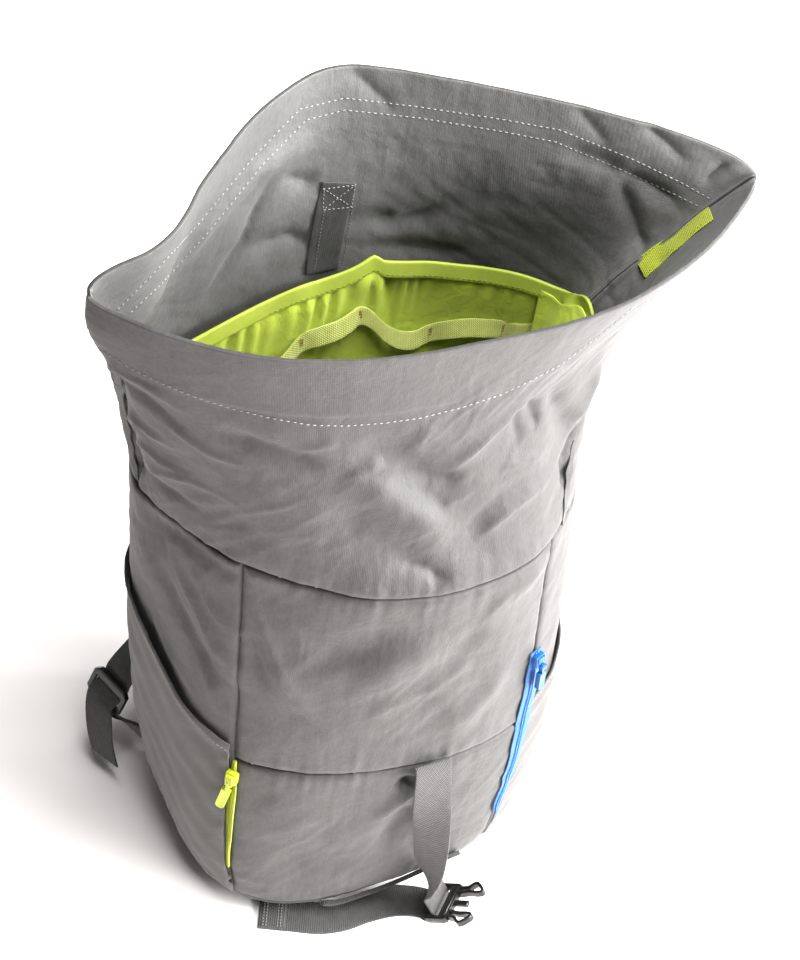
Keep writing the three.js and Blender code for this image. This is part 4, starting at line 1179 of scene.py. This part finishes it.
def sleeveWave(place, depth):  # depth below the top edge in mm
    look = sleeveCloth
    x = place.x / mm
    wander = noise.noise(Vector((x * 0.026, 0.0, 4.0))) * look["wander"]
    strength = 0.55 + 0.6 * noise.noise(Vector((x * 0.034, 5.0, 1.0)))
    strength *= look["leftShare"] if x < look["tuckAt"] else look["rightShare"]
    fine = math.sin(2 * math.pi * (x + depth * look["slant"]) / look["gatherLength"] + wander) * strength
    broad = noise.noise(Vector((x * 0.024, place.z * 8, 2.0)))
    fade = math.exp(-depth / look["reach"])
    gather = look["gather"] * fine * fade + look["drape"] * broad * (1 - fade * 0.5)
    beside = x - look["tuckAt"] - depth * 0.1
    tuck = math.exp(-(beside / 9) ** 2) - 1.3 * math.exp(-((beside - 9) / 4) ** 2)  # a ridge, then a dip
    tuck *= look["tuckHeight"] * math.exp(-depth / look["tuckReach"])
    return gather * clamped((depth - 9) / 8) + tuck * clamped((depth - 7) / 8)  # none under the binding


def inwards(place):
    return (shell["axis"] - Vector((place[0] * 0.4, place[1], 0))).normalized()


def drawnIn(place, clear):  # towards the middle of the bag until it clears the wall
    middle = Vector((shell["axis"].x, shell["axis"].y, place.z))
    way = place - middle
    reach = way.length
    for turn in (-0.06, 0, 0.06):
        hit = shellTree.ray_cast(middle, Matrix.Rotation(turn, 3, "Z") @ way.normalized())[0]
        if hit is not None:
            reach = min(reach, (hit - middle).length - clear * mm)
    return middle + way.normalized() * reach


def topEdge(places, slots):  # middles of a solid's top edge from left to right
    tops = []
    for a, b in zip(slots, slots[1:]):
        here = places[(places[:, 0] >= a) & (places[:, 0] <= b)]
        tops.append(here[here[:, 2] > here[:, 2].max() - 1.2 * mm].mean(0))
    return np.array(tops)


def makeGusset(turn):  # the sleeve's turned right end, kept off the wall
    deep, clear = sleeveCloth["gussetDepth"], sleeveCloth["gussetClear"]
    rows = [[*(place - np.array((0, 0, deep / 2 + 5))), 0, 0, 1] for place in turn]
    gusset = band("inner_sleeve_gusset", rows, (deep, 1.0), limeNylon, "lime_lining", step=4, columns=12)
    bm = bmesh.new()
    bm.from_mesh(gusset.data)
    for v in bm.verts:
        v.co = drawnIn(v.co, clear + 2)
    for _ in range(6):
        bmesh.ops.smooth_vert(bm, verts=bm.verts, factor=0.5, use_axis_x=True, use_axis_y=True)
    bm.to_mesh(gusset.data)
    bm.free()


def makeSleeve():
    bm = softCopy("inner_sleeve", sleeveCloth["levels"])
    places = positions(bm)
    slots = np.linspace(places[:, 0].min(), places[:, 0].max(), 40)
    tops = topEdge(places, slots)
    seen = np.array([offWall(*mark) for mark in sleeveCloth["top"]]) * mm
    unseen = tops[tops[:, 0] < seen[0][0] - 12 * mm] - np.array((0, 0, 9 * mm))
    turn = np.array([offWall(*mark) for mark in sleeveCloth["gusset"]])
    turn = np.vstack([turn, turn[-1] + np.array(sleeveCloth["gussetEnd"])])
    turn = np.array([drawnIn(Vector(place) * mm, sleeveCloth["gussetClear"]) for place in turn]) / mm
    line = np.vstack([unseen, seen])
    # the cloth stays under the turned end
    fall = np.vstack([line, turn[1:] * mm - np.array((0, 0, 6 * mm))])
    foot = places[:, 2].min()
    for v in bm.verts:
        old, oldY = [np.interp(v.co.x, tops[:, 0], tops[:, k]) for k in (2, 1)]
        top = np.interp(v.co.x, fall[:, 0], fall[:, 2])
        ends = min(1, (v.co.x - slots[0]) / 0.02, (slots[-1] - v.co.x) / 0.02)
        rise = (v.co.z - foot) / (old - foot)
        v.co.z = foot + (top - foot) * rise
        v.co.y += (np.interp(v.co.x, line[:, 0], line[:, 1]) - oldY) * rise ** 3
        v.co += inwards(v.co) * sleeveWave(v.co, (top - v.co.z) / mm) * max(0, ends) * mm
        if v.co.x > sleeveCloth["rightEnd"] * mm:
            v.co = drawnIn(v.co, sleeveCloth["rightClear"])
    bm.normal_update()
    area = sum(face.calc_area() for face in bm.faces) / 2
    obj = register(newObject("inner_sleeve_cloth", bm, limeNylon), "lime_lining", "inner_sleeve")
    drop = np.array((0, 0, sleeveCloth["binding"][0] / 2 - 1.0))
    rows = [[*(place - drop), 0, 0.05, 1] for place in np.vstack([line[1:] / mm, turn[1:]])]
    binding = band("inner_sleeve_binding", rows, sleeveCloth["binding"], limeBinding, "lime_lining",
                   step=3, rounding=0.6)
    for v in binding.data.vertices:
        v.co = drawnIn(v.co, sleeveCloth["bindingClear"])
    makeGusset(turn)
    return obj, binding, rows


sleeveObject, sleeveBinding, sleeveTop = makeSleeve()
sleeveTree = treeOf([sleeveBinding, sleeveObject])
bindingPlaces = [Vector(row[:3]) + Vector((0, -6, -3.5)) for row in sleeveTop]
bindingRow = [sleeveTree.find_nearest(place * mm)[:2] for place in bindingPlaces]
threads("inner_sleeve_stitches", [bindingRow], limeThread, "lime_lining", pitch=3.4, length=2.3, width=0.6)
print("sleeve made")

# daisy-chain webbing across the sleeve: places along, heights and how far it bows off; tacked where flat
daisy = {
    "size": (13, 1.3), "loops": 5, "clear": 1.4,
    "rows": [(-119, 382, 0), (-108, 381, 5), (-94, 379, 7), (-82, 377, 5), (-70, 375, 0), (-60, 371, 4),
             (-48, 371, 6), (-36, 379, 5), (-23, 391, 0), (-13, 397, 4), (-2, 401, 5.5), (8, 403.5, 4),
             (15, 404, 0.5), (22, 400.5, 2), (31, 390, 4.5), (41, 382, 5), (52, 378, 3), (63, 380.5, 0),
             (73, 386, 3), (84, 388.5, 4), (95, 388.5, 3), (105, 388, 0), (112, 389, 2), (120, 392, 1)],
}


def makeDaisy():
    rows = []
    tacks = []
    for x, z, bow in daisy["rows"]:
        start = Vector((x, -20, z)) * mm
        hit = sleeveTree.ray_cast(start, Vector((0, 1, 0)))[0]
        place = hit / mm - Vector((0, daisy["clear"] + bow, 0))
        rows.append([*place, 0, 0.15 + bow * 0.03, 1])
        if bow < 1:
            tacks.append(place)
    nodes = ["inner_webbing_%d" % (k + 1) for k in range(daisy["loops"])]
    band("inner_webbing_band", rows, daisy["size"], limeWebbing, "lime_webbing", *nodes, scallop=0.12)
    lines = []
    for tack in tacks:
        for shift in (-0.8, 0, 0.8):
            place = tack + Vector((shift, -0.7, 0))
            column = [place + Vector((0, 0, rise)) for rise in (-5, 0, 5)]
            lines.append([(mark * mm, Vector((0, -1, 0.1))) for mark in column])
    threads("inner_webbing_tacks", lines, tackThread, "lime_webbing", pitch=2.2, length=2.1, width=0.6)


makeDaisy()
print("daisy chain made")

# anchor strip and seam tape on the inside of the mouth, rear closure strap outside it
wallBands = {
    "inner_anchor_strip": {"size": (21, 1.0), "lift": 0.8, "slot": "webbing_grey"},
    "seam_tape": {"size": (15, 0.9), "lift": 2.0, "slot": "lime_lining"},
    "back_closure_strap": {"size": (25, 1.5), "lift": 1.1, "slot": "webbing_grey"},
}


def makeWallBand(node, material):
    look = wallBands[node]
    rows = bandOn(rowCentres(node), look["lift"])
    return band(node + "_band", rows, look["size"], material, look["slot"], node, columns=8), rows


def stitchTape(tape, rows, shift=5.8):  # a row of stitches along both edges
    tree = treeOf([tape])
    lines = []
    for side in (-shift, shift):
        places = [Vector(row[:3]) + Vector(row[3:6]).normalized() * side for row in rows]
        lines.append([tree.find_nearest(place * mm)[:2] for place in places])
    threads("seam_tape_stitches", lines, limeThread, "lime_lining", pitch=2.6, length=1.9, width=0.6)


anchorBand, _ = makeWallBand("inner_anchor_strip", nylon)
# the seam tape takes the darker zip tape material: painted shade for the shaded inside of the right wall
stitchTape(*makeWallBand("seam_tape", limeTapeAndPaintedSeamShade))
makeWallBand("back_closure_strap", greyWebbing)
anchorTree = treeOf([anchorBand, *panels.values()])
boxCorners = [(324, 189), (355, 185), (352, 207), (323, 210)]
boxRows = [[*boxCorners, boxCorners[0]], [boxCorners[0], boxCorners[2]], [boxCorners[1], boxCorners[3]]]
edgeRows = [[(324, 212), (319, 240), (314, 272)], [(352, 208), (347, 240), (342, 268)]]
threads("anchor_stitches", [pixelLine(anchorTree, pixels, 2.0) for pixels in boxRows], polyesterThread,
        "webbing_grey", pitch=2.8, length=2.0, width=0.6)
threads("anchor_edge_stitches", [pixelLine(anchorTree, pixels, 2.0) for pixels in edgeRows], greyThread,
        "webbing_grey", pitch=2.6, length=1.9, width=0.6)

# rolled seams down both sides of the collar, drawn tight so that they pinch
collarSeams = {
    "left": [(113, 358), (117, 372), (120, 388), (123, 406), (127, 420), (130, 436), (133, 452), (136, 468),
             (140, 486)],
    "right": [(574, 440), (570, 458), (567, 480), (564, 505), (562, 530)],
    "size": (4.5, 1.8), "pinch": 17,
}


def makeCollarSeam(side):
    marks = pixelLine(shellTree, collarSeams[side], 5.0)
    places = np.array([place for place, _ in marks])
    normals = np.array([normal for _, normal in marks])
    evened(places, 4)
    evened(normals, 4)
    rows = []
    for k, (place, normal) in enumerate(zip(places, normals)):
        taper = min(1, 0.1 + k / 3, 0.1 + (len(marks) - 1 - k) / 3)
        share = taper * (1 + 0.3 * math.sin(2 * math.pi * place[2] / (collarSeams["pinch"] * mm)))
        across = Vector(normal).cross(Vector(aheadAt(places, k))).normalized()
        rows.append([*(place / mm + normal * (taper - 0.7)), *across, share])
    band("collar_seam_" + side, rows, collarSeams["size"], nylon, "nylon_grey", rounding=0.9)


makeCollarSeam("left")
makeCollarSeam("right")
print("inner trims made")

# shoulder straps: foam pads under spacer mesh, with bound edges, then webbing through the ladder locks
padStrap = {
    "width": 62, "fill": 0.7, "binding": (9, 3.4), "band": (25, 1.5),
    "rows": [(38, 98, 338, 1, 0, 0), (41, 112, 318, 1, 0, 0.1), (48, 122, 272, 0.97, 0, 0.2),
             (57, 122, 220, 0.95, 0, 0.26), (67, 115, 172, 0.93, 0, 0.32), (76, 106, 138, 0.9, 0, 0.42)],
    "webbing": [(80, 103.5, 130, 0.88, 0.1, 0.46), (96, 100, 112, 0.75, 0.4, 0.5),
                (114, 95, 95, 0.55, 0.75, 0.4)],
    "drop": [(150, 80, 56, 0.5, 0.85, 0), (152, 70, 40, 0.5, 0.85, 0), (151, 61, 26, 0.5, 0.85, 0)],
    "lockCentre": Vector((141, 88, 67)),
    "lockAlong": Vector((0.4, 0.9, 0.15)),
    "lockRise": Vector((-0.25, 0.25, 0.93)),
    "slotTurn": [(18, -4.5), (8, -4.2), (0, 0), (-6, 4.6)],
    "voxel": 5, "pressure": 4.0, "frames": 20, "cap": 4,
}


def sided(values, side):
    turned = list(values)
    for k in range(0, len(turned), 3):
        turned[k] *= side
    return turned


def swell(obj):  # cloth under pressure, held to a few millimetres, with the result kept in the mesh
    scene = bpy.context.scene
    remesh = obj.modifiers.new("Remesh", "REMESH")
    remesh.mode = "VOXEL"
    remesh.voxel_size = padStrap["voxel"] * mm
    graph = bpy.context.evaluated_depsgraph_get()
    even = bpy.data.meshes.new_from_object(obj.evaluated_get(graph))
    obj.modifiers.clear()
    obj.data = even
    before = np.array([v.co for v in even.vertices])
    cloth = obj.modifiers.new("Cloth", "CLOTH")
    cloth.settings.use_pressure = True
    cloth.settings.uniform_pressure_force = padStrap["pressure"]
    cloth.settings.effector_weights.gravity = 0
    for step in range(1, padStrap["frames"] + 1):
        scene.frame_set(step)
    graph = bpy.context.evaluated_depsgraph_get()
    after = np.array([v.co for v in obj.evaluated_get(graph).data.vertices])
    obj.modifiers.clear()
    scene.frame_set(1)
    move = after - before
    length = np.linalg.norm(move, axis=1, keepdims=True)
    move *= np.minimum(1, padStrap["cap"] * mm / np.maximum(length, 1e-9))
    for v, place in zip(obj.data.vertices, before + move):
        v.co = place
    smooth = obj.modifiers.new("Subdivision", "SUBSURF")
    smooth.levels = smooth.render_levels = 1


def makeShoulderStrap(name, side):
    node = "shoulder_strap_" + name
    pad = newObject(node + "_pad", cadCopy(node), spacerMesh)
    swell(pad)
    register(pad, "strap_cover", node)
    for polygon in pad.data.polygons:
        polygon.use_smooth = True
    rows, upper, lower = [[sided(row, side) for row in padStrap[key]] for key in ("rows", "webbing", "drop")]
    middles = [Vector(row[:3]) for row in rows]
    for edge, shift in (("inner", -0.5), ("outer", 0.5)):
        border = []
        for k, (row, middle) in enumerate(zip(rows, middles)):
            across = Vector(row[3:]).normalized()
            out = across.cross(aheadAt(middles, k)).normalized()
            border.append([*(middle + across * shift * padStrap["width"]), *out])
        band(node + "_binding_" + edge, border, padStrap["binding"], greyWebbing, "strap_cover",
             step=4, rounding=1.0)
    keys = ("lockAlong", "lockRise", "lockCentre")
    along, lift, centre = [Vector(sided(padStrap[key], side)) for key in keys]
    out = along.cross(lift).normalized()
    along.normalize()
    rise = out.cross(along).normalized()
    turn = [(*(centre + rise * y + out * side * z), *along) for y, z in padStrap["slotTurn"]]
    node = "strap_webbing_" + name
    band(node + "_band", upper + turn + lower, padStrap["band"], strapWebbing, "webbing_grey", node,
         columns=10, scallop=0.18)
    node = "strap_wing_" + name
    wing = softCopy(node, 2)
    clothMap(wing)
    register(newObject(node + "_cloth", wing, nylon), "nylon_grey", node)


makeShoulderStrap("left", -1)
makeShoulderStrap("right", 1)
print("shoulder straps made")


# studio: pale floor, soft light from the right and above
studio = {
    "floor": "#fffaf8", "floorSize": 6, "floorRoughness": 0.9, "world": "#ffffff", "worldStrength": 0.1,
    "aim": Vector((0, 0, 0.3)),
    "lamps": [  # name, place, size and power
        ("keyLamp", (1.7, -0.9, 1.2), 0.9, 144), ("sideLamp", (1.9, -0.4, 1.6), 0.9, 34),
        ("lowLamp", (1.3, -1.5, 0.6), 0.8, 66), ("topLamp", (0.25, -0.55, 2.5), 1.4, 100)],
}


def makeStudio():
    bm = bmesh.new()
    bmesh.ops.create_grid(bm, x_segments=1, y_segments=1, size=studio["floorSize"])
    material, _, shader = startMaterial("paleMattPaper")  # seamless paper, burnt out to white
    shader.inputs["Base Color"].default_value = linearColour(studio["floor"])
    shader.inputs["Roughness"].default_value = studio["floorRoughness"]
    newObject("floor", bm, material)
    bpy.context.scene.view_settings.view_transform = "Standard"
    world = bpy.data.worlds.new("studio")
    bpy.context.scene.world = world
    world.use_nodes = True
    background = world.node_tree.nodes["Background"]
    background.inputs["Color"].default_value = linearColour(studio["world"])
    background.inputs["Strength"].default_value = studio["worldStrength"]
    for name, place, size, power in studio["lamps"]:
        data = bpy.data.lights.new(name, "AREA")
        data.size = size
        data.energy = power
        lamp = bpy.data.objects.new(name, data)
        lamp.location = place
        lamp.rotation_euler = (studio["aim"] - Vector(place)).to_track_quat("-Z", "Y").to_euler()
        bpy.context.scene.collection.objects.link(lamp)


makeStudio()
print("studio lit")
